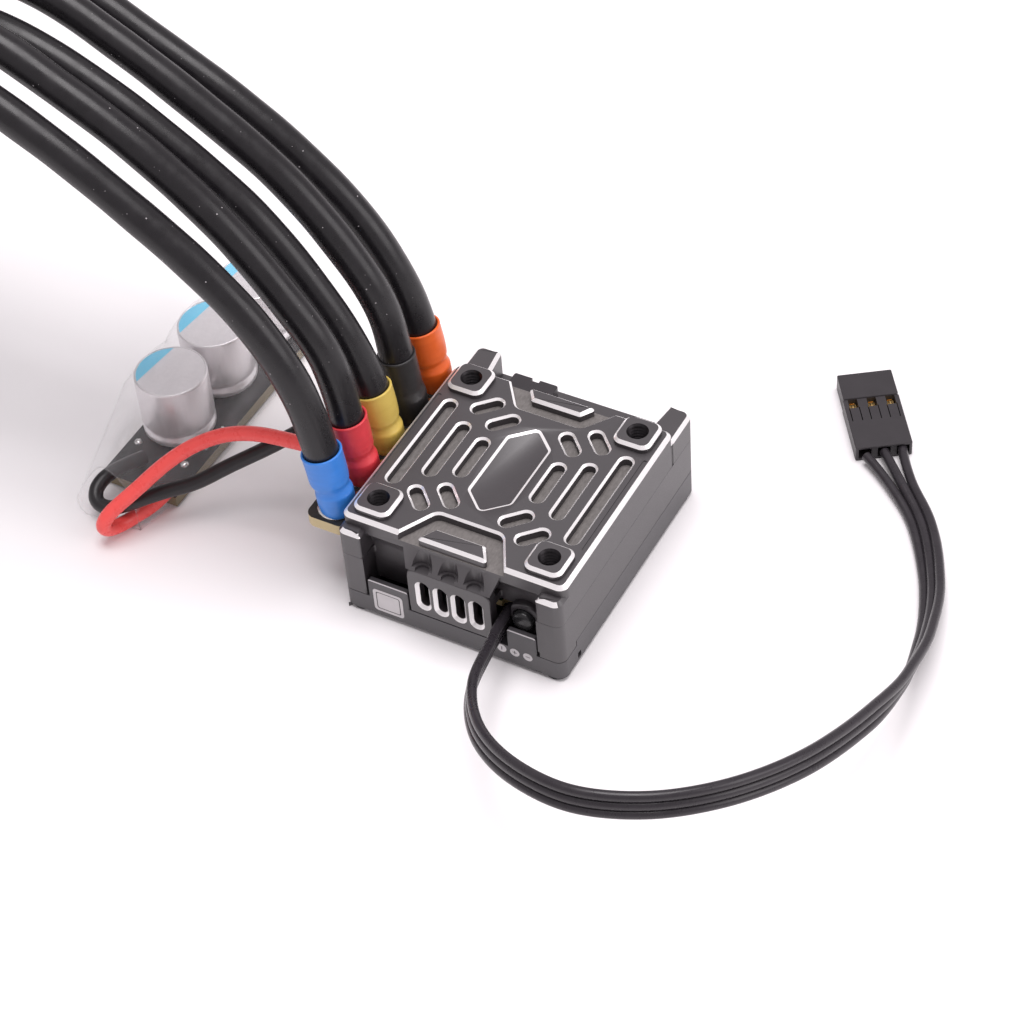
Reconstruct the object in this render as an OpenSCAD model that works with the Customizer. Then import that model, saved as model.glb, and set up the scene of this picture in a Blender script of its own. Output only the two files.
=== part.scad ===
// Electronic speed controller for a small model car motor. Millimetres, +Z up.
// Origin: centre of the case's underside. -Y is the front with the power button,
// -X is the side where the five thick wires leave.

/* [Case] */
// Width of the case across its side walls
case_w = 31.4; // [31:0.1:32]
// Height from the underside to the top of the fan plate
case_h = 15.7; // [15.5:0.1:16.5]
// Length of the fan plate from front to back
plate_l = 30.2; // [30:0.1:30.6]
// Front face of the case, in front of the origin
front_y = 18.7; // [18.5:0.1:19]
// Tips of the two back horns, behind the origin
back_y = 18.6; // [18.4:0.1:19]
// Wall thickness
wall = 1.5; // [1.4:0.1:1.6]
// Corner radius of the case seen from above
corner_r = 1.2; // [0.8:0.1:1.6]

/* [Fan mount] */
// Spacing of the four tapped fan holes
fan_pitch = 24; // [23.5:0.5:24]
// Radius of the tapped fan holes
fan_hole_r = 1.25; // [1:0.05:1.3]
// Height of the fan bosses above the plate
boss_h = 1.0; // [0.6:0.1:1.4]

/* [Wires] */
// Outer diameter of the five thick wires
wire_d = 4.5; // [4:0.1:4.6]
// Spacing of the five thick wires
wire_pitch = 6.275; // [6.2:0.025:6.4]
// Outer diameter of the two thin capacitor leads
lead_d = 2.0; // [1.6:0.1:2.2]
// Width of the flat receiver cable
cable_w = 3.7; // [3.4:0.1:4.2]
// Thickness of the flat receiver cable
cable_t = 1.3; // [1.1:0.1:1.4]

/* [Capacitors] */
// Diameter of a capacitor can
can_d = 10; // [9:0.5:10.5]
// Height of a capacitor can
can_h = 10; // [9:0.5:12]
// Spacing of the three cans
can_pitch = 10.6; // [10.6:0.1:11]

/* [Receiver plug] */
// Width of the plug across its three contacts
plug_w = 7.6; // [7.4:0.1:7.8]
// Length of the plug
plug_l = 14.2; // [14:0.1:14.6]
// Thickness of the plug
plug_t = 2.5; // [2.4:0.1:2.6]

/* [Button] */
// Radius of the button
button_r = 1.5; // [1.3:0.05:1.5]
// How far the button presses in
button_travel = 0.5; // [0.3:0.05:0.5]

/* [Hidden] */
$fn = 48;

// Overlap that keeps cuts clean
eps = 0.05;
half_w = case_w / 2;
plate_front = -17.25;
plate_back = plate_front + plate_l;
// Fan pattern centre, measured from the case's centre
fan_y = -1.85;
// Heights of the stack, from the bottom
tray_floor = 1.2;
tray_front_top = 3.5;
tray_side_top = 4.4;
lip_top = 6.5;
lip_t = 0.7;
control_z = 5.5;
control_t = 1.0;
frame_top = 10.1;
board_t = 1.6;
board_top = frame_top + board_t;
mosfet_t = 0.9;
plate_under = 13.3;
post_top = case_h - 1.6;
// Inside of the case
inner_x = half_w - wall;
inner_front = -front_y + wall;
inner_back = back_y - wall;
// Corner pillars and their screws
pillar_w = 3.4;
pillar_l = 3.7;
screw_x = 13.9;
screw_front = -16.9;
screw_back = 16.4;
screw_shank_r = 0.95;
screw_hole_r = 1.0;
screw_head_r = 1.6;
screw_head_h = 1.2;
// Front recesses either side of the slotted panel
panel_half = 5.9;
recess_outer = 12.2;
// Plate pattern
slot_r = 0.85;
slot_chamfer = 0.34;
slot_depth = 1.3;
notch_depth = 1.3;
// Button
button_x = 9.6;
button_z = 7.4;
button_face = -17.9;
// Where the receiver cable's right side passes
cable_side = 7.8;
// Places of the thick wires
wire_x = -19;
wire_lean = 6;
wire_y = [for (i = [-2 : 2]) -0.9 + i * wire_pitch];
solder_h = 0.7;
sleeve_z = board_top + solder_h;
// Capacitor pack
can_x = -52.2;
can_y = [for (i = [0 : 2]) -1.15 + i * can_pitch];
pack_z = 1.9;
// Receiver plug: its middle, and the way its contact end points
plug_x = 31.9;
plug_y = 40.25;
plug_turn = 34;
contact_pitch = 2.54;

// Routes of the thick wires, as x and z in each wire's own upright plane
wire_near = [
    [[-19, 12.4], [-19.8, 20], [-22.4, 31], [-27.5, 39.6], [-34.4, 46.3], [-44.3, 53.4], [-54.4, 59.6]],
    [[-19, 12.4], [-19.8, 20], [-22, 31.5], [-27.3, 39.6], [-34.6, 48], [-44.6, 56], [-55, 61.9]],
    [[-19, 12.4], [-19.8, 20], [-22.2, 27.6], [-27.3, 36.1], [-34.8, 44.9], [-45, 52.3], [-56.2, 58.6]],
    [[-19, 12.4], [-19.8, 20], [-21.4, 29.6], [-26.4, 38], [-34, 46.3], [-44.6, 53.7], [-55.2, 59.9]],
    [[-19, 12.4], [-19.8, 20], [-22.3, 28.6], [-27.3, 36.9], [-35.2, 44.4], [-43.3, 50], [-54.2, 55.8]]
];
// How much higher or lower each wire passes over its peak
wire_lift = [0, 2, -2.7, 0, -3.5];
function wire_far(lift) = [
    [-66, 64.8 + lift], [-78, 65.5 + lift], [-90, 59 + lift / 2], [-101, 46 + lift / 3],
    [-111, 29], [-121, 11.5], [-132, 3], [-143, 2.4]
];
wire_end = [-143, 2.4];

// Routes of the thin capacitor leads, from the pack to the power board
lead_pos_route = [
    [-46.2, -12.9, 2.9], [-47.1, -15.2, 1.9], [-48.8, -18.3, 1.25], [-49.8, -20.9, 1.4], [-50.2, -22.7, 2.3],
    [-50.1, -23.2, 3.7], [-49.5, -22.3, 5.1], [-48.2, -20.4, 6.4], [-46.5, -18.2, 8], [-44.1, -15.1, 10.4],
    [-41.1, -12.1, 12.4], [-37.5, -9.6, 13.6], [-33.5, -8.4, 14.2], [-29.9, -8.1, 14.5], [-21.6, -7.4, 14.7]
];
lead_neg_route = [
    [-52.6, -9.5, 3], [-53.5, -12.6, 3.9], [-54.3, -15.6, 4.4], [-54.8, -17.3, 3.9], [-54.3, -18.9, 3.1],
    [-52.7, -19.7, 2.8], [-51.1, -19.3, 2.9], [-49.1, -18.4, 3.8], [-46.5, -17.1, 5.1], [-44.3, -15.1, 5.5],
    [-41.6, -13.3, 6.1], [-37.8, -10.3, 8.2], [-33, -7, 10.8], [-29.8, -4.3, 12.6], [-25.6, 0.9, 14.2],
    [-21.6, 4.7, 14.6]
];
// Route of the flat receiver cable, with its turn from flat in degrees
cable_route = [
    [6.75, -15.2, 5.8], [6.8, -18.4, 5.8], [7.7, -23, 6.9], [10.3, -31.6, 9.7], [16.2, -39.7, 13.2],
    [23.6, -44.4, 15.8], [31.6, -45.9, 17.2], [39.4, -43.4, 17.4], [46.1, -37.6, 16.4], [51.4, -28, 13.6],
    [54.4, -15.2, 9.4], [54.9, -5, 6], [53.6, 5, 3.4], [50.7, 14.5, 1.6], [45.3, 24.3, 1],
    [40, 30, 1.1], [35.9, 34.3, 1.25]
];
cable_turn = [96, 104, 114, 118, 118, 118, 117, 115, 112, 106, 92, 55, 15, 0, 0, 0, 0];

// ---------- helpers ----------

function unit(v) = v / norm(v);
function along(route, i) =
    unit(route[min(i + 1, len(route) - 1)] - route[max(i - 1, 0)]);
// One ring of a swept section, 'turn' degrees round from flat
function ring(at, way, wide, thick, sides, turn, up) =
    let (side = unit(cross(way, up)), top = cross(side, way),
         a = cos(turn) * side + sin(turn) * top, b = cos(turn) * top - sin(turn) * side)
    [for (k = [0 : sides - 1]) at + cos(360 * k / sides) * wide / 2 * a
                                  + sin(360 * k / sides) * thick / 2 * b];

module swept(route, wide, thick, sides, turns = 0, up = [0, 0, 1]) {
    count = len(route);
    points = [for (i = [0 : count - 1])
        each ring(route[i], along(route, i), wide, thick, sides, is_list(turns) ? turns[i] : turns, up)];
    walls = [for (i = [0 : count - 2], k = [0 : sides - 1])
        each [[i * sides + k, i * sides + (k + 1) % sides, (i + 1) * sides + k],
              [i * sides + (k + 1) % sides, (i + 1) * sides + (k + 1) % sides, (i + 1) * sides + k]]];
    start = [[for (k = [sides - 1 : -1 : 0]) k]];
    finish = [[for (k = [0 : sides - 1]) (count - 1) * sides + k]];
    polyhedron(points, concat(walls, start, finish));
}

module rounded_square(w, l, r) {
    square([w - 2 * r, l], center = true);
    square([w, l - 2 * r], center = true);
    for (x = [-1, 1], y = [-1, 1])
        translate([x * (w / 2 - r), y * (l / 2 - r)]) circle(r);
}

// Rounded block between two corners
module block(x0, x1, y0, y1, z0, z1, r = corner_r) {
    translate([(x0 + x1) / 2, (y0 + y1) / 2, z0])
        linear_extrude(z1 - z0) rounded_square(x1 - x0, y1 - y0, r);
}

module box(x0, x1, y0, y1, z0, z1) {
    translate([x0, y0, z0]) cube([x1 - x0, y1 - y0, z1 - z0]);
}

// Blind round-ended slot with a chamfered rim, long along Y, rim at z = 0
module slot_cut(reach, depth) {
    translate([0, 0, -depth]) linear_extrude(depth + eps) {
        square([2 * slot_r, 2 * reach], center = true);
        for (s = [-1, 1]) translate([0, s * reach]) circle(slot_r);
    }
    rim = slot_chamfer + eps;
    for (s = [-1, 1]) translate([0, s * reach, -slot_chamfer])
        cylinder(h = rim, r1 = slot_r, r2 = slot_r + rim);
    rotate([90, 0, 0]) linear_extrude(2 * reach, center = true)
        polygon([[-slot_r, -slot_chamfer], [slot_r, -slot_chamfer], [slot_r + rim, eps], [-slot_r - rim, eps]]);
}

module at_screws() {
    for (s = [-1, 1]) {
        translate([s * screw_x, screw_front, 0]) children();
        translate([s * screw_x, screw_back, 0]) children();
    }
}

module at_fan_holes() {
    for (x = [-1, 1], y = [-1, 1])
        translate([x * fan_pitch / 2, fan_y + y * fan_pitch / 2, 0]) children();
}

// ---------- case ----------

// Grooves of the notch at the front or the back edge, round its raised bar
module notch_cut(edge, inner, bar_edge, bar_inner) {
    difference() {
        polygon([[-7.3, edge], [-4.6, inner], [4.6, inner], [7.3, edge]]);
        polygon([[-4.75, bar_edge], [-3.3, bar_inner], [3.3, bar_inner], [4.75, bar_edge]]);
    }
}

module plate_pattern() {
    translate([0, fan_y, case_h]) {
        for (s = [-1, 1]) {
            translate([s * 12.67, 0, 0]) slot_cut(7.25, slot_depth);
            translate([s * 9.05, 0, 0]) slot_cut(4.26, slot_depth);
            translate([s * 5.44, 0, 0]) slot_cut(2.75, slot_depth);
        }
        for (x = [-1, 1], y = [-1, 1]) {
            translate([x * 4.8, y * 7.2, 0]) rotate([0, 0, x * y * 45]) slot_cut(1.25, slot_depth);
            translate([x * 8.05, y * 9.05, 0]) rotate([0, 0, x * y * 45]) slot_cut(1.25, slot_depth);
        }
    }
    translate([0, 0, case_h - notch_depth]) linear_extrude(notch_depth + eps) {
        notch_cut(plate_front - 1, -12.15, plate_front - 1, -14.65);
        notch_cut(plate_back + 1, 8.65, plate_back + 1, 10.8);
    }
    // engraved six-sided outline
    translate([0, fan_y, case_h - 0.25]) linear_extrude(0.25 + eps) difference() {
        polygon([[0, 8.6], [3.8, 5.6], [3.8, -5.6], [0, -8.6], [-3.8, -5.6], [-3.8, 5.6]]);
        polygon([[0, 8.1], [3.4, 5.4], [3.4, -5.4], [0, -8.1], [-3.4, -5.4], [-3.4, 5.4]]);
    }
}

// Sloping brow above the slotted panel, with three round flutes
module front_brow() {
    panel_top = 11.3;
    difference() {
        translate([-6.4, 0, 0]) rotate([90, 0, 90]) linear_extrude(12.8)
            polygon([[plate_front + 1, panel_top], [-front_y, panel_top],
                     [plate_front, case_h - notch_depth], [plate_front + 1, case_h - notch_depth]]);
        for (x = [-3.64, 0, 3.64])
            translate([x, -front_y, panel_top - eps]) cylinder(h = 4, r = 1.45);
    }
}

module top_housing() {
    color("#2f2d31") difference() {
        union() {
            block(-half_w, half_w, plate_front, plate_back, plate_under, case_h);
            // right wall reaches the frame, left wall stops above the power board
            box(inner_x, half_w, plate_front + 1, plate_back, frame_top, plate_under + eps);
            box(-half_w, -inner_x, plate_front + 1, plate_back, board_top + 0.3, plate_under + eps);
            box(-recess_outer, recess_outer, plate_front, plate_front + wall, board_top, plate_under + eps);
            front_brow();
            for (s = [-1, 1]) {
                // front corner posts and back horns
                box(s > 0 ? half_w - pillar_w : -half_w, s > 0 ? half_w : -half_w + pillar_w,
                    -front_y, -front_y + pillar_l, frame_top, post_top);
                translate([0, 0, frame_top]) linear_extrude(post_top - frame_top)
                    polygon([[s * 11.5, plate_back - 0.6], [s * 12.3, back_y], [s * half_w, back_y],
                             [s * half_w, plate_back - 0.6]]);
            }
            at_fan_holes() {
                translate([0, 0, case_h - eps]) linear_extrude(boss_h - 0.4 + eps) rounded_square(5.2, 5.2, 1.3);
                translate([0, 0, case_h]) linear_extrude(boss_h) rounded_square(4.6, 4.6, 1);
            }
        }
        plate_pattern();
        at_fan_holes() {
            translate([0, 0, plate_under + 0.4]) cylinder(h = 5, r = fan_hole_r);
        }
        at_screws() translate([0, 0, frame_top - eps]) cylinder(h = 3.2, r = screw_hole_r);
    }
}

module middle_frame() {
    color("#333136") difference() {
        union() {
            difference() {
                block(-half_w, half_w, -front_y, back_y, tray_side_top, frame_top);
                box(-inner_x, inner_x, inner_front, inner_back, tray_side_top - eps, frame_top - 1);
                box(-inner_x + 0.9, inner_x - 0.9, -14, inner_back - 3, frame_top - 2, frame_top + eps);
                box(-11, 11, 12, inner_back, frame_top - 2, frame_top + eps);
                // open recesses either side of the panel
                for (s = [-1, 1])
                    box(min(s * panel_half, s * recess_outer), max(s * panel_half, s * recess_outer),
                        -front_y - 1, -15.9, tray_side_top - eps, frame_top + eps);
                box(-panel_half, panel_half, inner_front - eps, -15.9, tray_side_top - eps, frame_top + eps);
                // way out for the receiver cable
                box(panel_half - 0.1, cable_side, -16.5, -13.5, tray_side_top - eps, frame_top + eps);
            }
            // slotted panel
            block(-panel_half, panel_half, -front_y, inner_front, tray_front_top, 11.3, 0.3);
            box(-panel_half, panel_half, inner_front - eps, -14.9, frame_top - 1.2, frame_top);
            // wall that carries the button
            box(cable_side, recess_outer + eps, -15.9, -14.9, tray_side_top + 0.1, frame_top);
            for (s = [-1, 1]) {
                x0 = s > 0 ? half_w - pillar_w : -half_w;
                block(x0, x0 + pillar_w, -front_y, -front_y + pillar_l, tray_front_top, frame_top);
                box(x0, x0 + pillar_w, back_y - pillar_l, back_y - corner_r, tray_side_top, frame_top);
            }
        }
        for (i = [-1.5 : 1.5]) translate([i * 2.53, -front_y, 7.1]) {
            rotate([-90, 0, 0]) translate([0, 0, -1]) linear_extrude(3) {
                square([1.3, 2.9], center = true);
                for (s = [-1, 1]) translate([0, s * 1.45]) circle(0.65);
            }
        }
        at_screws() translate([0, 0, tray_front_top - 1]) cylinder(h = 8, r = screw_hole_r);
        translate([button_x, -17, button_z]) rotate([-90, 0, 0]) cylinder(h = 3, r = button_r + 0.08);
    }
}

module base_tray() {
    color("#302e32") difference() {
        union() {
            difference() {
                block(-half_w, half_w, -front_y, back_y, 0, tray_side_top);
                box(-inner_x, inner_x, inner_front, inner_back, tray_floor, tray_side_top + eps);
                box(-half_w - 1, half_w + 1, -front_y - 1, -front_y + pillar_l, tray_front_top, tray_side_top + 1);
            }
            for (s = [-1, 1]) {
                x0 = s > 0 ? half_w - pillar_w : -half_w;
                x1 = s > 0 ? half_w : -half_w + pillar_w;
                block(x0, x1, -front_y, -front_y + pillar_l, 0, tray_front_top);
                box(x0, x1, back_y - pillar_l, back_y - corner_r, 0, tray_side_top);
                // front lips that close the lower half of each recess, thin above the wall
                box(s > 0 ? cable_side + 0.1 : -12, s > 0 ? 12 : -6.1, -front_y, -front_y + lip_t, tray_floor, lip_top);
                // pads under the control board
                for (y = [-12, 12]) box(s * 11 - 1.5, s * 11 + 1.5, y - 1.5, y + 1.5, tray_floor - eps, control_z);
            }
        }
        at_screws() {
            translate([0, 0, -eps]) cylinder(h = screw_head_h + eps, r = screw_head_r + 0.05);
            cylinder(h = 8, r = screw_hole_r);
        }
    }
}

module case_screws() {
    color("#4a4a4c") at_screws() difference() {
        union() {
            cylinder(h = screw_head_h, r = screw_head_r);
            cylinder(h = 13, r = screw_shank_r);
        }
        // hexagon key socket
        translate([0, 0, -eps]) cylinder(h = 0.9, r = 0.8, $fn = 6);
    }
}

// ---------- boards and what is on them ----------

module power_board() {
    color("#26231f") union() {
        block(-22, -16, -16.35, 14.6, frame_top, board_top, 1.3);
        box(-17.5, inner_x - 0.2, -14.4, 12.2, frame_top, board_top);
    }
}

module mosfets() {
    color("#1d1d1f") for (x = [-10.5, -3.5, 3.5, 10.5], y = [-9.5, -1, 7.5])
        box(x - 2.5, x + 2.5, y - 3, y + 3, board_top, board_top + mosfet_t);
}

module thermal_pad() {
    color("#8f9aa5") box(-13.4, 13.4, -13.4, 11.4, board_top + mosfet_t, plate_under);
}

module control_board() {
    color("#1f3326") difference() {
        union() {
            box(-inner_x + 0.1, inner_x - 0.1, -14.7, 14.6, control_z, control_z + control_t);
            box(-11, 0, 14.5, 16.4, control_z, control_z + control_t);
        }
        // room for the button's stem and the receiver cable
        box(cable_side - 2.6, button_x + 2.6, -15, -14, control_z - 1, control_z + 2);
    }
}

module controller_chip() {
    color("#1b1b1d") box(-3.5, 3.5, -5.5, 1.5, control_z + control_t, control_z + control_t + 1);
}

module driver_chip() {
    color("#1b1b1d") box(-10.5, -5.5, 3.5, 8.5, control_z + control_t, control_z + control_t + 0.9);
}

module ceramic_capacitors() {
    color("#a58866") for (x = [-7.5, -2.5, 2.5, 7.5], y = [-6, 0, 6])
        box(x - 1.6, x + 1.6, y - 1.25, y + 1.25, control_z - 2, control_z);
}

module converter_coil() {
    color("#5b5b5e") box(3.2, 8.4, 4.2, 9.4, control_z + control_t, control_z + control_t + 3);
}

module pin_header() {
    color("#1b1b1b") difference() {
        box(11, 13, -8.2, 8.2, control_z + control_t, control_z + control_t + 2.5);
        for (i = [-3.5 : 3.5]) box(11.7, 12.3, i * 2 - 0.3, i * 2 + 0.3, control_z, frame_top);
    }
}

module header_pins() {
    color("#c8a14a") for (i = [-3.5 : 3.5])
        box(11.7, 12.3, i * 2 - 0.3, i * 2 + 0.3, control_z + control_t, frame_top);
}

module power_button() {
    color("#1c1c1e") translate([button_x, 0, button_z]) {
        translate([0, button_face + 0.6, 0]) rotate([-90, 0, 0]) cylinder(h = 2.46, r = button_r);
        // shallow dome
        translate([0, button_face + 0.6, 0]) rotate([90, 0, 0]) rotate_extrude()
            polygon([[0, 0], [button_r, 0], [button_r * 0.86, 0.34], [button_r * 0.55, 0.54], [0, 0.6]]);
        // bar that keeps the button behind its wall
        box(-1.95, 1.95, -14.84, -14.4, -0.8, 0.8);
    }
}

module button_collar() {
    color("#242326") translate([button_x, -15.9, button_z]) rotate([90, 0, 0]) difference() {
        cylinder(h = 1, r = 2.45);
        translate([0, 0, -eps]) cylinder(h = 2, r = button_r + 0.08);
        // flat beside the receiver cable
        translate([cable_side - button_x - 5, -3, -1]) cube([5, 6, 3]);
    }
}

module tact_switch() {
    color("#2b2b2e") {
        box(button_x - 2, button_x + 2, -13.3, -11.2, control_z + control_t, control_z + control_t + 2.6);
        translate([button_x, -13.75, button_z]) rotate([-90, 0, 0]) cylinder(h = 0.5, r = 0.9);
    }
}

module sensor_socket() {
    color("#232225") difference() {
        box(-9, -2.6, 13.1, 16.2, control_z + control_t, 13.7);
        box(-8.3, -3.3, 14, 17, 10.6, 13);
    }
}

module sensor_contacts() {
    color("#c8a14a") for (i = [-2.5 : 2.5])
        box(i * 0.8 - 5.95, i * 0.8 - 5.65, 14, 15.8, 11.6, 11.9);
}

// ---------- thick wires ----------

module solder_joints() {
    color("#d9d6cf") for (y = wire_y) translate([wire_x, y, board_top]) cylinder(h = solder_h, r = 2.6);
}

module wire_sleeve(i) {
    r = wire_d / 2;
    translate([wire_x, wire_y[i], sleeve_z]) rotate([0, -wire_lean, 0]) translate([0, 0, 0.3]) rotate_extrude()
        polygon([[r, 0], [r + 0.3, 0], [r + 0.45, 1], [r + 0.4, 3], [r + 0.15, 4],
                 [r + 0.3, 5], [r + 0.3, 8.4], [r, 8.4]]);
}

module thick_wire(i) {
    flat = concat(wire_near[i], wire_far(wire_lift[i]));
    swept([for (p = flat) [p[0], wire_y[i], p[1]]], wire_d, wire_d, 10, 0, [0, 1, 0]);
}

module wire_ends() {
    color("#c9c4ba") for (y = wire_y)
        translate([wire_end[0] - 4, y, wire_end[1]]) rotate([0, 90, 0]) cylinder(h = 4, r = 1.6);
}

// ---------- capacitor pack ----------

module capacitor_cans() {
    color("#b9bcc0") for (y = can_y) translate([can_x, y, pack_z + 0.4]) cylinder(h = can_h - 0.4, r = can_d / 2);
}

module capacitor_seals() {
    color("#1a1a1a") for (y = can_y) translate([can_x, y, pack_z]) cylinder(h = 0.4, r = can_d / 2 - 0.6);
}

module capacitor_legs() {
    color("#c9c4ba") for (y = can_y, s = [-1, 1])
        translate([can_x + s * 2.5, y, 0.3]) cylinder(h = 1.6, r = 0.3);
}

module capacitor_board() {
    color("#201d1a") difference() {
        box(-57, -45.2, -13.3, 26.2, 0.3, pack_z);
        for (y = can_y, s = [-1, 1]) translate([can_x + s * 2.5, y, 0]) cylinder(h = 3, r = 0.3);
    }
}

// Outline of the shrunk tube across its length, from a low right edge over the cans
module sleeve_section(grow) {
    polygon([[-57.4 - grow, 0.3 - grow], [-44.3 + grow, 0.3 - grow], [-44.3 + grow, 2 + grow],
             [-47.1 + grow, 8], [-47.1 + grow, 12 + grow], [-57.4 - grow, 12 + grow]]);
}

module capacitor_sleeve() {
    color("#dfe5e8") difference() {
        union() {
            translate([0, 26.4, 0]) rotate([90, 0, 0]) linear_extrude(33.6) sleeve_section(0.3);
            translate([0, -7.1, 0]) rotate([90, 0, 0]) linear_extrude(11.9)
                polygon([[-57.9, 0], [-45.2, 0], [-45.2, 2.6], [-49, 6.8], [-55.4, 7.4], [-57.9, 5.2]]);
        }
        translate([0, 27, 0]) rotate([90, 0, 0]) linear_extrude(34.1) sleeve_section(0.02);
        translate([0, -7, 0]) rotate([90, 0, 0]) linear_extrude(14)
            polygon([[-57.6, 0.28], [-45.48, 0.28], [-45.48, 2.5], [-49.1, 6.5], [-55.3, 7.1], [-57.6, 5]]);
    }
}

// ---------- receiver plug ----------

module at_plug() {
    translate([plug_x, plug_y, 0]) rotate([0, 0, plug_turn]) children();
}

module receiver_plug() {
    color("#232225") at_plug() difference() {
        box(-plug_w / 2, plug_w / 2, -plug_l / 2, plug_l / 2, 0, plug_t);
        for (i = [-1 : 1]) {
            x = i * contact_pitch;
            box(x - 0.8, x + 0.8, -plug_l / 2 + 1, plug_l / 2 - 0.8, 0.5, 2);
            box(x - 0.35, x + 0.35, plug_l / 2 - 1, plug_l / 2 + 1, 0.9, 1.6);
            box(x - 0.6, x + 0.6, 1.6, 4, 1.5, plug_t + 1);
        }
    }
}

module receiver_contacts() {
    color("#cfa64c") at_plug() for (i = [-1 : 1]) difference() {
        x = i * contact_pitch;
        box(x - 0.75, x + 0.75, -plug_l / 2 + 1, plug_l / 2 - 0.9, 0.5, 1.95);
        box(x - 0.35, x + 0.35, 1, plug_l / 2, 0.9, 1.6);
    }
}

top_housing();
middle_frame();
base_tray();
case_screws();
power_board();
mosfets();
thermal_pad();
control_board();
controller_chip();
driver_chip();
ceramic_capacitors();
converter_coil();
pin_header();
header_pins();
power_button();
button_collar();
tact_switch();
sensor_socket();
sensor_contacts();
solder_joints();
color("#2f7fd6") wire_sleeve(0);  // sleeve_blue
color("#d8434b") wire_sleeve(1);  // sleeve_red
color("#e6c544") wire_sleeve(2);  // sleeve_yellow
color("#29272a") wire_sleeve(3);  // sleeve_black
color("#e5612a") wire_sleeve(4);  // sleeve_orange
color("#262427") thick_wire(0);  // motor_wire_a
color("#262427") thick_wire(1);  // battery_wire_pos
color("#262427") thick_wire(2);  // motor_wire_b
color("#262427") thick_wire(3);  // battery_wire_neg
color("#262427") thick_wire(4);  // motor_wire_c
wire_ends();
capacitor_cans();
capacitor_seals();
capacitor_legs();
capacitor_board();
capacitor_sleeve();
color("#e8333a") swept(lead_pos_route, lead_d, lead_d, 8, 0, [0.93, -0.35, 0]);  // capacitor_lead_pos
color("#232225") swept(lead_neg_route, lead_d, lead_d, 8, 0, [0.2, 0.1, 1]);  // capacitor_lead_neg
color("#2a282b") swept(cable_route, cable_w, cable_t, 8, cable_turn);  // receiver_cable
receiver_plug();
receiver_contacts();
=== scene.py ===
"""Electronic speed controller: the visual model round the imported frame.

Sizes in the code are millimetres in the part's own frame; MM turns them into metres.
"""
import math
import random

import bmesh
import bpy
from mathutils import Matrix, Vector


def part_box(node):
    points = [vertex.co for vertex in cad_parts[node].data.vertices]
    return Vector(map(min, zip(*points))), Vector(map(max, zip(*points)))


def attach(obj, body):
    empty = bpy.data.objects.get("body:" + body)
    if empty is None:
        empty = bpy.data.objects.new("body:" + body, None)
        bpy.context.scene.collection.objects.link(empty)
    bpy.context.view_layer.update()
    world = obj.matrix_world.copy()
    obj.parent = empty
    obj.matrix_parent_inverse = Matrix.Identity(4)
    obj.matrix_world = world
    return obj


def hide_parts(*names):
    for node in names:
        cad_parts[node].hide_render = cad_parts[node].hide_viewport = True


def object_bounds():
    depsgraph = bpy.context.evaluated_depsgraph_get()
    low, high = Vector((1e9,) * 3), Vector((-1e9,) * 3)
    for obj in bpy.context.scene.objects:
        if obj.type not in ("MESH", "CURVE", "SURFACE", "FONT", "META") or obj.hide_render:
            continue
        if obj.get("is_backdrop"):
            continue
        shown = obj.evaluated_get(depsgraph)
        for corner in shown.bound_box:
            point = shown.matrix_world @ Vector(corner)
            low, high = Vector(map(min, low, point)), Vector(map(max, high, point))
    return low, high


MM = 0.001
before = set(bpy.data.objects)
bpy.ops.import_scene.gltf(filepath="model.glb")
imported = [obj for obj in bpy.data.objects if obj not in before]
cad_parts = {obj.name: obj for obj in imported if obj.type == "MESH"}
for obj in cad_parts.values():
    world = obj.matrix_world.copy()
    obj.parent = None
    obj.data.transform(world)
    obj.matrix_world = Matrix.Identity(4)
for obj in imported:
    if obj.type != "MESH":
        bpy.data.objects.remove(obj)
cad_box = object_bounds()
random.seed(7)

# ---------- the case's driving sizes, as in the CAD ----------

HALF_W = 15.7
PLATE_FRONT, PLATE_BACK = -17.25, 12.95
FRONT, BACK = -18.7, 18.6
TOP = 15.7
PLATE_UNDER = 13.3
FRAME_TOP = 10.1
TRAY_TOP = 4.4
TRAY_FRONT_TOP = 3.5
LIP_TOP = 6.5
POST_TOP = 14.1
POST_X = 12.3
PANEL_HALF, PANEL_TOP = 5.9, 11.3
FAN_Y = -1.85
FAN_HALF = 12.0
SLOT_DEPTH = 1.3
NOTCH_FLOOR = 14.4
FLUTE_X = (-3.68, 0.0, 3.6)
PANEL_SLOT_PITCH, PANEL_SLOT_Z = 2.53, 7.1
LIP_T = 0.7
WIRE_END_X, WIRE_END_Z = -143, 2.4
BOARD_TOP = 11.7
WIRE_X = -19.0
WIRE_PITCH = 6.275
WIRE_Y = [-0.9 + i * WIRE_PITCH for i in range(-2, 3)]
WIRE_D = 4.5
LEAD_D = 2.0
CAN_X = -52.2
CAN_Y = [-1.15 + i * 10.6 for i in range(3)]
BUTTON = Vector((9.6, -17.3, 7.4))
PLUG = Vector((31.9, 40.25, 0.0))
PLUG_TURN = math.radians(34)
PLUG_W, PLUG_L, PLUG_T = 7.6, 14.2, 2.5
CONTACT_PITCH = 2.54


# ---------- materials ----------

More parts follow.
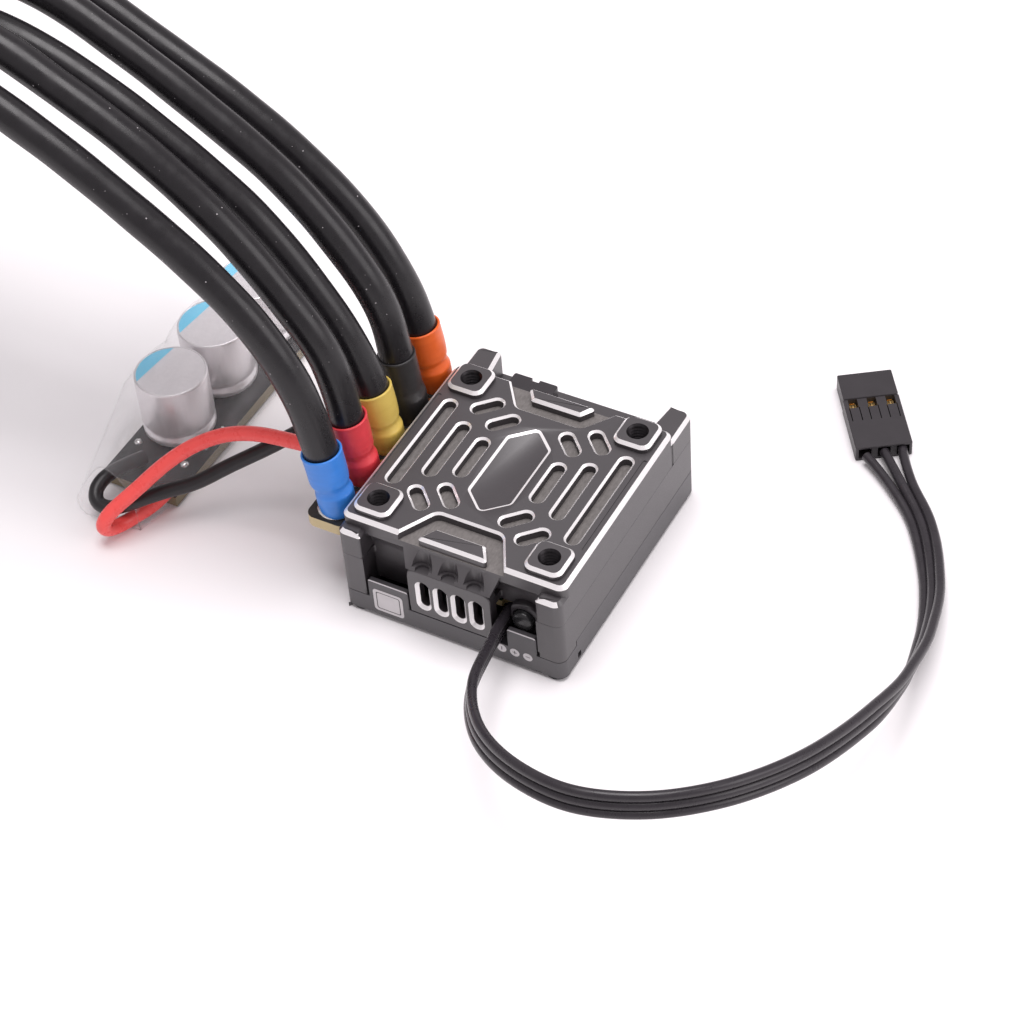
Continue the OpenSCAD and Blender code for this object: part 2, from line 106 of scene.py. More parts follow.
class Shader:
    """A material's node tree, with short calls for the nodes that the materials share."""

    def __init__(self, name):
        self.material = bpy.data.materials.new(name)
        self.material.use_nodes = True
        self.tree = self.material.node_tree
        self.bsdf = self.tree.nodes["Principled BSDF"]
        self.coords = None

    def node(self, kind, **inputs):
        made = self.tree.nodes.new("ShaderNode" + kind)
        for name, value in inputs.items():
            self.set(made, name.replace("_", " "), value)
        return made

    def feed(self, socket, value):
        """Links another node's output, or sets a constant."""
        if isinstance(value, bpy.types.NodeSocket):
            self.tree.links.new(value, socket)
        else:
            socket.default_value = value

    def set(self, node, name, value):
        self.feed(node.inputs[name], value)

    def surface(self, **inputs):
        for name, value in inputs.items():
            self.set(self.bsdf, name.replace("_", " "), value)
        return self

    def place(self):
        """The piece's own coordinates, in metres."""
        if self.coords is None:
            self.coords = self.node("TexCoord")
        return self.coords.outputs["Object"]

    def noise(self, size_mm, detail=3.0, rough=0.55, distortion=0.0, vector=None):
        made = self.node("TexNoise", Scale=1 / (size_mm * MM), Detail=detail, Roughness=rough)
        made.inputs["Distortion"].default_value = distortion
        self.set(made, "Vector", vector or self.place())
        return made.outputs["Fac"]

    def stretched(self, sx, sy, sz):
        made = self.node("Mapping", Vector=self.place())
        made.inputs["Scale"].default_value = (sx, sy, sz)
        return made.outputs["Vector"]

    def ramp(self, value, *stops):
        """Colours or greys at places from 0 to 1."""
        made = self.node("ValToRGB", Fac=value)
        band = made.color_ramp.elements
        while len(band) < len(stops):
            band.new(0.5)
        for element, (at, colour) in zip(band, stops):
            element.position = at
            if isinstance(colour, (int, float)):
                colour = (colour,) * 3
            element.color = (*colour, 1)
        return made.outputs["Color"]

    def mix(self, amount, a, b):
        made = self.tree.nodes.new("ShaderNodeMix")
        made.data_type = "RGBA"
        self.feed(made.inputs[0], amount)
        for index, value in ((6, a), (7, b)):
            self.feed(made.inputs[index], (*value, 1) if isinstance(value, tuple) else value)
        return made.outputs[2]

    def math(self, operation, a, b=0.0):
        made = self.node("Math")
        made.operation = operation
        self.feed(made.inputs[0], a)
        self.feed(made.inputs[1], b)
        return made.outputs[0]

    def specks(self, cell_mm, radius, share):
        """Rare small dots: 1 inside a dot, 0 elsewhere."""
        cells = self.node("TexVoronoi", Scale=1 / (cell_mm * MM), Vector=self.place())
        near = self.math("LESS_THAN", cells.outputs["Distance"], radius)
        pick = self.node("SeparateColor", Color=cells.outputs["Color"])
        rare = self.math("LESS_THAN", pick.outputs[0], share)
        return self.math("MULTIPLY", near, rare)

    def bump(self, height, distance_mm, strength=1.0):
        made = self.node("Bump", Strength=strength, Distance=distance_mm * MM, Height=height)
        before = self.bsdf.inputs["Normal"]
        if before.is_linked:
            self.tree.links.new(before.links[0].from_socket, made.inputs["Normal"])
        self.tree.links.new(made.outputs["Normal"], before)
        return self


def anodised(name, low, high, rough=0.4):
    """Dyed, bead-blasted aluminium."""
    s = Shader(name)
    grain = s.noise(0.16, 4, 0.7)
    cloud = s.noise(5.0, 2)
    s.surface(
        Base_Color=s.mix(cloud, low, high), IOR=1.82,
        Roughness=s.ramp(grain, (0.3, rough - 0.05), (0.7, rough + 0.07)),
    )
    return s.bump(grain, 0.005, 0.5).material


def cut_metal(name):
    """Aluminium cut bright by a fine mill, with faint tool lines."""
    s = Shader(name)
    lines = s.noise(0.09, 2, 0.5, vector=s.stretched(1, 1, 6))
    s.surface(
        Base_Color=s.ramp(lines, (0.25, (0.92, 0.9, 0.9)), (0.8, (0.99, 0.98, 0.98))),
        Metallic=0.55, Roughness=s.ramp(lines, (0.3, 0.28), (0.8, 0.4)),
    )
    return s.bump(lines, 0.002, 0.25).material


def pocket_floor(name):
    """The milled floor of a slot: matt, warmer grey, with cutter arcs."""
    s = Shader(name)
    arcs = s.noise(0.25, 3, 0.6, vector=s.stretched(1, 0.35, 1))
    s.surface(
        Base_Color=s.ramp(arcs, (0.3, (0.115, 0.105, 0.1)), (0.75, (0.19, 0.175, 0.168))),
        IOR=1.6, Roughness=s.ramp(arcs, (0.3, 0.5), (0.8, 0.62)),
    )
    return s.bump(arcs, 0.01, 0.5).material


def jacket(name, low, high, rough=0.38, speck=True, dust=(0.35, 0.33, 0.34), dent=0.08):
    """Soft silicone, faintly mottled, with grains of dust on it."""
    s = Shader(name)
    mottle = s.noise(1.6, 4, 0.6)
    fine = s.noise(0.22, 3, 0.6)
    colour = s.mix(mottle, low, high)
    if speck:
        colour = s.mix(s.specks(1.1, 0.085, 0.13), colour, dust)
        colour = s.mix(s.specks(0.62, 0.09, 0.16), colour, tuple(c * 0.6 for c in dust))
    s.surface(
        Base_Color=colour, IOR=1.45,
        Roughness=s.ramp(mottle, (0.25, rough - 0.06), (0.75, rough + 0.1)),
        Sheen_Weight=0.04, Sheen_Roughness=0.4,
    )
    s.bump(fine, 0.01, 0.35)
    return s.bump(s.noise(4.0, 2), dent, 0.3).material


def shrink_film(name, low, high, rough=0.34):
    """Coloured shrink tube: thin plastic with soft wrinkles round it."""
    s = Shader(name)
    wrinkle = s.noise(1.4, 3, 0.55, vector=s.stretched(0.5, 0.5, 1.6))
    fine = s.noise(0.18, 3, 0.6)
    s.surface(
        Base_Color=s.mix(wrinkle, low, high), IOR=1.5, Subsurface_Weight=0.08,
        Subsurface_Radius=(0.0006, 0.0006, 0.0006),
        Roughness=s.ramp(fine, (0.3, rough - 0.04), (0.75, rough + 0.1)),
    )
    s.bump(wrinkle, 0.1, 0.45)
    return s.bump(fine, 0.008, 0.3).material


def plastic(name, low, high, rough=0.4, grain_mm=0.12, depth=0.006):
    """Moulded plastic or epoxy with a fine spark-eroded grain."""
    s = Shader(name)
    grain = s.noise(grain_mm, 3, 0.65)
    s.surface(
        Base_Color=s.mix(s.noise(2.5, 2), low, high), IOR=1.5,
        Roughness=s.ramp(grain, (0.3, rough - 0.05), (0.75, rough + 0.09)),
    )
    return s.bump(grain, depth, 0.5).material


def metal(name, low, high, rough=0.25, grain_mm=0.3, depth=0.004):
    """Plated or tinned metal with slight variation."""
    s = Shader(name)
    grain = s.noise(grain_mm, 4, 0.6)
    s.surface(
        Base_Color=s.mix(grain, low, high), Metallic=1.0,
        Roughness=s.ramp(grain, (0.3, rough - 0.06), (0.75, rough + 0.12)),
    )
    return s.bump(grain, depth, 0.5).material


def circuit_board(name, mask_low, mask_high, edge=(0.46, 0.37, 0.2)):
    """Solder mask on the faces, glass fibre on the cut edges."""
    s = Shader(name)
    normal = s.node("NewGeometry").outputs["Normal"]
    upright = s.node("SeparateXYZ", Vector=normal).outputs["Z"]
    face = s.math("GREATER_THAN", s.math("ABSOLUTE", upright), 0.7)
    tracks = s.noise(1.8, 1, 0.4, vector=s.stretched(1, 0.45, 1))
    mask = s.ramp(tracks, (0.46, mask_low), (0.5, mask_high), (0.58, mask_high), (0.62, mask_low))
    fibre = s.noise(0.2, 3, 0.6, vector=s.stretched(0.25, 0.25, 2.5))
    cut = s.mix(fibre, edge, tuple(c * 1.35 for c in edge))
    s.surface(
        Base_Color=s.mix(face, cut, mask), IOR=1.5,
        Roughness=s.ramp(fibre, (0.3, 0.34), (0.75, 0.5)),
    )
    return s.bump(tracks, 0.02, 0.3).material


def can_coating(name):
    """Satin lacquered aluminium of a capacitor can."""
    s = Shader(name)
    drawn = s.noise(0.5, 3, 0.5, vector=s.stretched(1, 1, 0.12))
    s.surface(
        Base_Color=s.mix(drawn, (0.76, 0.74, 0.75), (0.9, 0.87, 0.89)), Metallic=0.6,
        Roughness=s.ramp(drawn, (0.3, 0.28), (0.75, 0.42)),
    )
    s.bump(drawn, 0.01, 0.4)
    return s.bump(s.noise(0.12, 3, 0.6), 0.004, 0.4).material


def clear_film(name):
    """Clear shrunk film: see-through, its white shown more at grazing angles as painted reflection, with faint
    uneven painted highlights along its folds.
    """
    s = Shader(name)
    folds = s.noise(5.0, 3, 0.5, distortion=0.4, vector=s.stretched(1, 0.5, 1))
    edge = s.node("LayerWeight", Blend=0.3).outputs["Facing"]
    # painted reflection: the film's white grows more opaque towards grazing angles
    painted_grazing_reflection = s.ramp(edge, (0.3, 0.045), (0.65, 0.1), (0.88, 0.3), (1.0, 0.6))
    # painted highlights: faint white streaks where the fold noise is high
    painted_fold_highlights = s.ramp(folds, (0.45, 0.0), (0.75, 0.05))
    s.surface(
        Base_Color=(0.93, 0.93, 0.95, 1), IOR=1.45, Roughness=0.09,
        Alpha=s.math("ADD", painted_grazing_reflection, painted_fold_highlights),
    )
    s.bump(folds, 0.1, 0.4)
    return s.material


BRIGHT = cut_metal("bright_cut_metal")
BLACK_CASE = anodised("anodised_black", (0.026, 0.022, 0.025), (0.036, 0.031, 0.035))
FLOOR_GREY = pocket_floor("milled_pocket")
THREAD = metal("tapped_thread", (0.02, 0.018, 0.02), (0.05, 0.047, 0.05), 0.4)
TRAY_CASE = anodised("anodised_tray", (0.028, 0.025, 0.029), (0.036, 0.033, 0.038), 0.44)
MARK = plastic("etched_light_mark", (0.52, 0.5, 0.51), (0.64, 0.62, 0.63), 0.55, 0.1)
SILICONE = jacket("silicone_black", (0.007, 0.006, 0.0075), (0.014, 0.0125, 0.0145), 0.28)
SILICONE_THIN = jacket(
    "silicone_black_thin", (0.013, 0.012, 0.013), (0.022, 0.02, 0.022), 0.33, False, dent=0.012)
SILICONE_RED = jacket("silicone_red", (0.84, 0.075, 0.07), (0.93, 0.11, 0.1), 0.27, False, dent=0.012)
CABLE = jacket("receiver_cable", (0.02, 0.017, 0.021), (0.03, 0.026, 0.031), 0.27, False, dent=0.012)
SLEEVES = {
    "blue": shrink_film("film_blue", (0.03, 0.19, 0.62), (0.05, 0.26, 0.78)),
    "red": shrink_film("film_red", (0.62, 0.035, 0.05), (0.8, 0.06, 0.075)),
    "yellow": shrink_film("film_yellow", (0.6, 0.43, 0.08), (0.72, 0.54, 0.13)),
    "black": shrink_film("film_black", (0.018, 0.017, 0.018), (0.03, 0.028, 0.029)),
    "orange": shrink_film("film_orange", (0.72, 0.105, 0.012), (0.88, 0.16, 0.025)),
}
BLACK_PLASTIC = plastic("moulded_black", (0.022, 0.019, 0.022), (0.032, 0.028, 0.032), 0.38)
CHIP = plastic("chip_epoxy", (0.014, 0.014, 0.014), (0.024, 0.023, 0.023), 0.52, 0.08)
BUTTON_BLACK = plastic("button_black", (0.012, 0.012, 0.013), (0.018, 0.018, 0.019), 0.22, 0.3, 0.003)
GOLD = metal("gold_plate", (0.72, 0.47, 0.17), (0.9, 0.64, 0.28), 0.24)
SOLDER = metal("solder", (0.68, 0.67, 0.66), (0.84, 0.83, 0.82), 0.22, 0.5, 0.02)
BLACK_OXIDE = metal("black_oxide_steel", (0.06, 0.06, 0.062), (0.1, 0.1, 0.102), 0.4)
BOARD_BLACK = circuit_board("power_board", (0.016, 0.014, 0.012), (0.024, 0.021, 0.017))
BOARD_SMALL = circuit_board(
    "capacitor_board", (0.014, 0.013, 0.014), (0.022, 0.02, 0.022), (0.17, 0.14, 0.08))
BOARD_GREEN = circuit_board("control_board", (0.012, 0.05, 0.022), (0.02, 0.08, 0.034))
CAN = can_coating("can_lacquer")
CYAN = plastic("cyan_print", (0.14, 0.6, 0.86), (0.19, 0.68, 0.93), 0.45)
BUNG = plastic("rubber_bung", (0.014, 0.014, 0.014), (0.022, 0.022, 0.022), 0.6)
CLEAR = clear_film("clear_film")
PAD_GREY = plastic("thermal_pad", (0.3, 0.33, 0.38), (0.36, 0.39, 0.44), 0.7)
TAN = plastic("ceramic_tan", (0.36, 0.26, 0.17), (0.46, 0.34, 0.23), 0.45)
COIL = plastic("coil_powder", (0.1, 0.1, 0.105), (0.14, 0.14, 0.146), 0.6)


# ---------- mesh helpers ----------

def arc(cx, cy, r, start, end, steps=8):
    """Points on a circle, from one angle in degrees to another."""
    return [
        (cx + r * math.cos(math.radians(start + (end - start) * i / steps)),
         cy + r * math.sin(math.radians(start + (end - start) * i / steps)))
        for i in range(steps + 1)
    ]


def rounded(corners, radii, steps=6):
    """A closed outline with each corner rounded; corners run anticlockwise."""
    if not isinstance(radii, (list, tuple)):
        radii = [radii] * len(corners)
    out = []
    for i, (corner, r) in enumerate(zip(corners, radii)):
        p = Vector(corner)
        before, after = Vector(corners[i - 1]), Vector(corners[(i + 1) % len(corners)])
        a, b = (before - p).normalized(), (after - p).normalized()
        if r <= 0:
            out.append(tuple(p))
            continue
        half = a.angle(b) / 2
        reach = min(r / math.tan(half), (before - p).length / 2, (after - p).length / 2)
        r = reach * math.tan(half)
        centre = p + (a + b).normalized() * (r / math.sin(half))
        first, last = p + a * reach - centre, p + b * reach - centre
        turn = math.atan2(first.x * last.y - first.y * last.x, first.dot(last))
        for k in range(steps + 1):
            t = turn * k / steps
            out.append((centre.x + first.x * math.cos(t) - first.y * math.sin(t),
                        centre.y + first.x * math.sin(t) + first.y * math.cos(t)))
    return out


def rectangle(x0, x1, y0, y1, r=0.0, steps=6):
    return rounded([(x0, y0), (x1, y0), (x1, y1), (x0, y1)], r, steps)


def obround(cx, cy, angle, reach, r, steps=10):
    """A round-ended slot's outline, long along 'angle' degrees from +Y."""
    base = arc(0, reach, r, 0, 180, steps) + arc(0, -reach, r, 180, 360, steps)
    c, s = math.cos(math.radians(angle)), math.sin(math.radians(angle))
    return [(cx + x * c - y * s, cy + x * s + y * c) for x, y in base]


def grown(loop, by):
    """The outline moved outwards by 'by', or inwards if it is negative."""
    out = []
    n = len(loop)
    for i in range(n):
        p = Vector(loop[i])
        before, after = Vector(loop[i - 1]), Vector(loop[(i + 1) % n])
        a, b = p - before, after - p
        if a.length < 1e-6 or b.length < 1e-6:
            a = b = a if a.length > b.length else b
        na = Vector((a.y, -a.x)).normalized()
        nb = Vector((b.y, -b.x)).normalized()
        m = (na + nb).normalized()
        out.append(tuple(p + m * (by / max(0.3, m.dot(na)))))
    return out


def skin(bm, rings, closed_ends=True):
    """Faces between each ring of vertices and the next, and over both ends."""
    n = len(rings[0])
    for low, high in zip(rings, rings[1:]):
        for i in range(n):
            j = (i + 1) % n
            bm.faces.new((low[i], low[j], high[j], high[i]))
    if closed_ends:
        bm.faces.new(list(reversed(rings[0])))
        bm.faces.new(rings[-1])
    bmesh.ops.recalc_face_normals(bm, faces=bm.faces)
    return bm


def prism(layers):
    """A closed solid through outlines of equal length, each at its own height: [(outline, z), ...]."""
    bm = bmesh.new()
    rings = [[bm.verts.new((x * MM, y * MM, z * MM)) for x, y in loop] for loop, z in layers]
    return skin(bm, rings)


def slab(loop, z0, z1, top=0.0, bottom=0.0):
    """An extruded outline with chamfered top or bottom edges."""
    layers = []
    if bottom:
        layers.append((grown(loop, -bottom), z0))
        layers.append((loop, z0 + bottom))
    else:
        layers.append((loop, z0))
    if top:
        layers += [(loop, z1 - top), (grown(loop, -top), z1)]
    else:
        layers.append((loop, z1))
    return prism(layers)


def pocket(loop, floor, rim, chamfer):
    """A cutter for a pocket whose rim is chamfered; 'loop' is the pocket's own wall."""
    spare = 0.3
    return prism([(loop, floor), (loop, rim - chamfer), (grown(loop, chamfer + spare), rim + spare)])


def moved(bm, matrix):
    bmesh.ops.transform(bm, matrix=matrix, verts=bm.verts)
    if matrix.determinant() < 0:
        bmesh.ops.reverse_faces(bm, faces=bm.faces)
    return bm


def turned(bm, axis, degrees, at=(0, 0, 0)):
    """The solid turned about an axis, then moved to 'at' in millimetres."""
    return moved(bm, Matrix.Translation(Vector(at) * MM) @ Matrix.Rotation(math.radians(degrees), 4, axis))


def placed(bm, x, y, z=0.0):
    return turned(bm, "Z", 0, (x, y, z))


def facing_front(bm, x=0.0, y=0.0, z=0.0):
    """The solid stood up so that its top faces the front, then moved in millimetres."""
    place = Matrix.Translation((x * MM, y * MM, z * MM))
    return moved(bm, place @ Matrix.Rotation(math.radians(90), 4, "X"))


def block(x0, x1, y0, y1, z0, z1, r=0.0, top=0.0, bottom=0.0, steps=6):
    return slab(rectangle(x0, x1, y0, y1, r, steps), z0, z1, top, bottom)


def lathe(profile, steps=48):
    """A solid turned about Z from (radius, height) points; radius 0 closes an end."""
    bm = bmesh.new()
    rings = []
    for r, z in profile:
        if r <= 1e-6:
            rings.append([bm.verts.new((0, 0, z * MM))])
        else:
            rings.append([
                bm.verts.new((r * math.cos(a) * MM, r * math.sin(a) * MM, z * MM))
                for a in (math.tau * k / steps for k in range(steps))
            ])
    for low, high in zip(rings, rings[1:]):
        for k in range(steps):
            j = (k + 1) % steps
            corners = [low[k % len(low)], low[j % len(low)], high[j % len(high)], high[k % len(high)]]
            corners = list(dict.fromkeys(corners))
            if len(corners) > 2:
                bm.faces.new(corners)
    bmesh.ops.recalc_face_normals(bm, faces=bm.faces)
    return bm


def rod(r, z0, z1, steps):
    return lathe([(0, z0), (r, z0), (r, z1), (0, z1)], steps)


def joined(*solids):
    """Several solids as one mesh, without a boolean."""
    whole = bmesh.new()
    for bm in solids:
        piece = bpy.data.meshes.new("part")
        bm.to_mesh(piece)
        bm.free()
        whole.from_mesh(piece)
        bpy.data.meshes.remove(piece)
    return whole


def linked(name, data):
    """A new object in the scene."""
    made = bpy.data.objects.new(name, data)
    bpy.context.scene.collection.objects.link(made)
    return made


def temporary(bm):
    mesh = bpy.data.meshes.new("temporary")
    bm.to_mesh(mesh)
    bm.free()
    return linked("temporary", mesh)


def evaluated(obj):
    """The object's mesh after its modifiers, as a bmesh; the object is removed."""
    graph = bpy.context.evaluated_depsgraph_get()
    mesh = bpy.data.meshes.new_from_object(obj.evaluated_get(graph))
    bm = bmesh.new()
    bm.from_mesh(mesh)
    bpy.data.meshes.remove(mesh)
    bpy.data.objects.remove(obj)
    return bm


def carved(base, steps):
    """Applies booleans in turn: [("UNION" or "DIFFERENCE", solid), ...]."""
    for operation, bm in steps:
        target, tool = temporary(base), temporary(bm)
        cut = target.modifiers.new("cut", "BOOLEAN")
        cut.operation, cut.solver, cut.object = operation, "EXACT", tool
        base = evaluated(target)
        bpy.data.objects.remove(tool)
    bmesh.ops.remove_doubles(base, verts=base.verts, dist=0.004 * MM)
    bmesh.ops.dissolve_degenerate(base, edges=base.edges, dist=0.002 * MM)
    return base


def cut_from(base, solids):
    return carved(base, [("DIFFERENCE", bm) for bm in solids])


def piece(name, bm, materials, stands_for=(), slot=None, body="case", smooth=32, edge=0.0, paint=None):
    """Makes the object: smooth by angle, with a fine edge radius in millimetres if asked."""
    mesh = bpy.data.meshes.new(name)
    for m in materials:
        mesh.materials.append(m)
    if paint:
        bm.normal_update()
        for f in bm.faces:
            f.material_index = paint(f)
    bm.to_mesh(mesh)
    bm.free()
    made = linked(name, mesh)
    mesh.shade_smooth()
    mesh.set_sharp_from_angle(angle=math.radians(smooth))
    if edge:
        bevel = made.modifiers.new("edge", "BEVEL")
        bevel.width, bevel.segments, bevel.limit_method = edge * MM, 2, "ANGLE"
        bevel.angle_limit = math.radians(38)
        bevel.use_clamp_overlap, bevel.harden_normals = True, True
        bevel.miter_outer = "MITER_ARC"
    if stands_for:
        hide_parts(*([stands_for] if isinstance(stands_for, str) else stands_for))
    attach(made, body)
    return made


# ---------- routes and swept tubes ----------

def smooth_route(points, step_mm):
    """A Catmull-Rom curve through the points, cut into even steps."""
    pts = [Vector(p) for p in points]
    pts = [pts[0] * 2 - pts[1]] + pts + [pts[-1] * 2 - pts[-2]]
    fine = []
    for p0, p1, p2, p3 in zip(pts, pts[1:], pts[2:], pts[3:]):
        t = [0.0]
        for a, b in ((p0, p1), (p1, p2), (p2, p3)):
            t.append(t[-1] + max(1e-6, (b - a).length) ** 0.5)
        for k in range(24):
            u = t[1] + (t[2] - t[1]) * k / 24
            a1 = p0 * ((t[1] - u) / (t[1] - t[0])) + p1 * ((u - t[0]) / (t[1] - t[0]))
            a2 = p1 * ((t[2] - u) / (t[2] - t[1])) + p2 * ((u - t[1]) / (t[2] - t[1]))
            a3 = p2 * ((t[3] - u) / (t[3] - t[2])) + p3 * ((u - t[2]) / (t[3] - t[2]))
            b1 = a1 * ((t[2] - u) / (t[2] - t[0])) + a2 * ((u - t[0]) / (t[2] - t[0]))
            b2 = a2 * ((t[3] - u) / (t[3] - t[1])) + a3 * ((u - t[1]) / (t[3] - t[1]))
            fine.append(b1 * ((t[2] - u) / (t[2] - t[1])) + b2 * ((u - t[1]) / (t[2] - t[1])))
    fine.append(pts[-2])
    run = [0.0]
    for a, b in zip(fine, fine[1:]):
        run.append(run[-1] + (b - a).length)
    count = max(2, round(run[-1] / step_mm))
    out, i = [], 0
    for k in range(count + 1):
        want = run[-1] * k / count
        while i < len(run) - 2 and run[i + 1] < want:
            i += 1
        part = (want - run[i]) / max(1e-9, run[i + 1] - run[i])
        out.append(fine[i].lerp(fine[i + 1], min(1, part)))
    return out


def length_of(route):
    return sum((b - a).length for a, b in zip(route, route[1:]))


def frames_along(route, first_side):
    """A side and a top vector at each point, carried along without twist."""
    side = Vector(first_side)
    out = []
    for i, p in enumerate(route):
        way = (route[min(i + 1, len(route) - 1)] - route[max(i - 1, 0)]).normalized()
        side = (side - way * side.dot(way)).normalized()
        out.append((way, side, way.cross(side)))
    return out


def sweep(route, section, frames, closed_ends=True):
    """A tube: section(i, share) gives (side, top) offsets in millimetres, the same number each time."""
    bm = bmesh.new()
    rings = []
    for i, (p, (way, side, top)) in enumerate(zip(route, frames)):
        ring = section(i, i / (len(route) - 1))
        rings.append([bm.verts.new((p + side * a + top * b) * MM) for a, b in ring])
    return skin(bm, rings, closed_ends)


def circle(r, sides=24):
    return [(r * math.cos(math.tau * k / sides), r * math.sin(math.tau * k / sides)) for k in range(sides)]


# ---------- camera ----------

def make_camera():
    """The picture's own viewpoint: height, turn and slight roll."""
    turn, height, roll = math.radians(31.78), math.radians(45.69), math.radians(5.0)
    ahead = Vector((-math.sin(turn) * math.cos(height), math.cos(turn) * math.cos(height), -math.sin(height)))
    right = Vector((math.cos(turn), math.sin(turn), 0))
    up = right.cross(ahead)
    right, up = right * math.cos(roll) - up * math.sin(roll), up * math.cos(roll) + right * math.sin(roll)
    data = bpy.data.cameras.new("camera")
    data.sensor_width, data.lens = 36.0, 96.55
    data.clip_start, data.clip_end = 0.01, 20.0
    camera = linked("camera", data)
    place = Vector((128.6, -209.72, 258.5)) * MM
    camera.matrix_world = Matrix((
        (right.x, up.x, -ahead.x, place.x),
        (right.y, up.y, -ahead.y, place.y),
        (right.z, up.z, -ahead.z, place.z),
        (0, 0, 0, 1),
    ))
    bpy.context.scene.camera = camera


make_camera()

# ---------- thick wires and their sleeves ----------

# Routes as x and z in each wire's own upright plane
WIRE_NEAR = [
    [(-19, 12.4), (-19.8, 20), (-22.4, 31), (-27.5, 39.6), (-34.4, 46.3), (-44.3, 53.4), (-54.4, 59.6)],
    [(-19, 12.4), (-19.8, 20), (-22, 31.5), (-27.3, 39.6), (-34.6, 48), (-44.6, 56), (-55, 61.9)],
    [(-19, 12.4), (-19.8, 20), (-22.2, 27.6), (-27.3, 36.1), (-34.8, 44.9), (-45, 52.3), (-56.2, 58.6)],
    [(-19, 12.4), (-19.8, 20), (-21.4, 29.6), (-26.4, 38), (-34, 46.3), (-44.6, 53.7), (-55.2, 59.9)],
    [(-19, 12.4), (-19.8, 20), (-22.3, 28.6), (-27.3, 36.9), (-35.2, 44.4), (-43.3, 50), (-54.2, 55.8)],
]
WIRE_LIFT = [0, 2, -2.7, 0, -3.5]
WIRE_NODES = ["motor_wire_a", "battery_wire_pos", "motor_wire_b", "battery_wire_neg", "motor_wire_c"]
SLEEVE_SIDES = 40
SLEEVE_NAMES = ["blue", "red", "yellow", "black", "orange"]


def wire_far(lift):
    return [
        (-66, 64.8 + lift), (-78, 65.5 + lift), (-90, 59 + lift / 2), (-101, 46 + lift / 3),
        (-111, 29), (-121, 11.5), (-132, 3), (WIRE_END_X, WIRE_END_Z),
    ]


def wire_route(i, step=1.2):
    flat = WIRE_NEAR[i] + wire_far(WIRE_LIFT[i])
    return smooth_route([(x, WIRE_Y[i], z) for x, z in flat], step)


def make_wires():
    for i, node in enumerate(WIRE_NODES):
        route = wire_route(i)
        frames = frames_along(route, (0, 1, 0))
        phase = random.random() * 10

        def section(k, share):
            # hand-made wire: its jacket swells and narrows a little
            swell = 0.02 * math.sin(k * 0.31 + phase) + 0.015 * math.sin(k * 0.83 + 2 * phase)
            # stripped and tinned at its foot, under the sleeve
            return circle(1.6 if k < 4 else WIRE_D / 2 + swell, 32)

        tube = sweep(route, section, frames)
        wire = piece("wire_" + node, tube, [SILICONE], node, "silicone_black", smooth=60)
        length_of(route) * MM


def make_wire_tips():
    """The tinned strands at the wires' far ends."""
    solids = []
    for i in range(5):
        y, strand = WIRE_Y[i], 0.52
        for ring, count in ((0.0, 1), (1.05, 6)):
            for k in range(count):
                a = math.tau * k / count
                profile = [(0, 0), (strand * 0.9, 0), (strand, 0.1), (strand, 3.6), (strand * 0.7, 3.9), (0, 4)]
                place = (WIRE_END_X + 0.2, y + ring * math.cos(a), WIRE_END_Z + ring * math.sin(a))
                solids.append(turned(lathe(profile, 14), "Y", -90, place))
    piece("wire_tips", joined(*solids), [SOLDER], "wire_ends", "solder", smooth=50)


def make_sleeves():
    """Shrunk over the jacket above and the stripped, soldered end below, so stepped in between."""
    # (share of the length, radius beyond the wire)
    shape = [
        (0.0, -0.08), (0.05, 0.04), (0.2, 0.12), (0.33, 0.1), (0.41, -0.05), (0.455, -0.06),
        (0.48, 0.08), (0.53, 0.2), (0.62, 0.24), (0.8, 0.26), (0.95, 0.28), (1.0, 0.33),
    ]
    plain = [(0.0, 0.02), (0.1, 0.12), (0.5, 0.14), (0.9, 0.16), (1.0, 0.19)]
    for i, name in enumerate(SLEEVE_NAMES):
        high = (9.5, 9.9, 9.6, 10.2, 9.8)[i]
        whole = smooth_route(wire_route(i, 0.2)[: 60], 0.2)
        down = (whole[0] - whole[3]).normalized()
        whole = [whole[0] + down * d for d in (0.65, 0.45, 0.2)] + whole
        route = [p for p in whole if (p - whole[0]).length <= high]
        frames = frames_along(route, (0, 1, 0))
        tilt = (0.5, 1.4, 2.2, 3.0, 4.1)[i]

        form = plain if name == "black" else shape

        def outer(share, angle):
            for (a, ra), (b, rb) in zip(form, form[1:]):
                if share <= b:
                    t = (share - a) / (b - a)
                    grow = ra + (rb - ra) * (t * t * (3 - 2 * t))
                    break
            fold = 0.03 * math.sin(3 * angle + tilt) * math.sin(math.pi * share)
            return WIRE_D / 2 + 0.1 + grow + fold

        bm = bmesh.new()

        def ring(p, side, top, share, inset=0.0):
            return [
                bm.verts.new((p + (side * math.cos(a) + top * math.sin(a)) * (outer(share, a) - inset)) * MM)
                for a in (math.tau * j / SLEEVE_SIDES for j in range(SLEEVE_SIDES))
            ]

        rings = []
        for k, (p, (way, side, top)) in enumerate(zip(route, frames)):
            share = k / (len(route) - 1)
            p = p + Vector((0.35, 0, 0)) * (1 - min(1, max(0, (share - 0.36) / 0.12)))
            rings.append(ring(p, side, top, share))
        # rolled rim, then a short way down inside
        p, (way, side, top) = route[-1], frames[-1]
        for up, inset in ((0.1, 0.05), (0.13, 0.17), (0.08, 0.3), (-0.6, 0.33)):
            rings.append(ring(p + way * up, side, top, 1, inset))
        skin(bm, rings)
        piece("shrink_" + name, bm, [SLEEVES[name]], "sleeve_" + name, "sleeve_" + name, smooth=70)


make_wire_tips()
make_wires()
make_sleeves()

# ---------- capacitor leads and receiver cable ----------

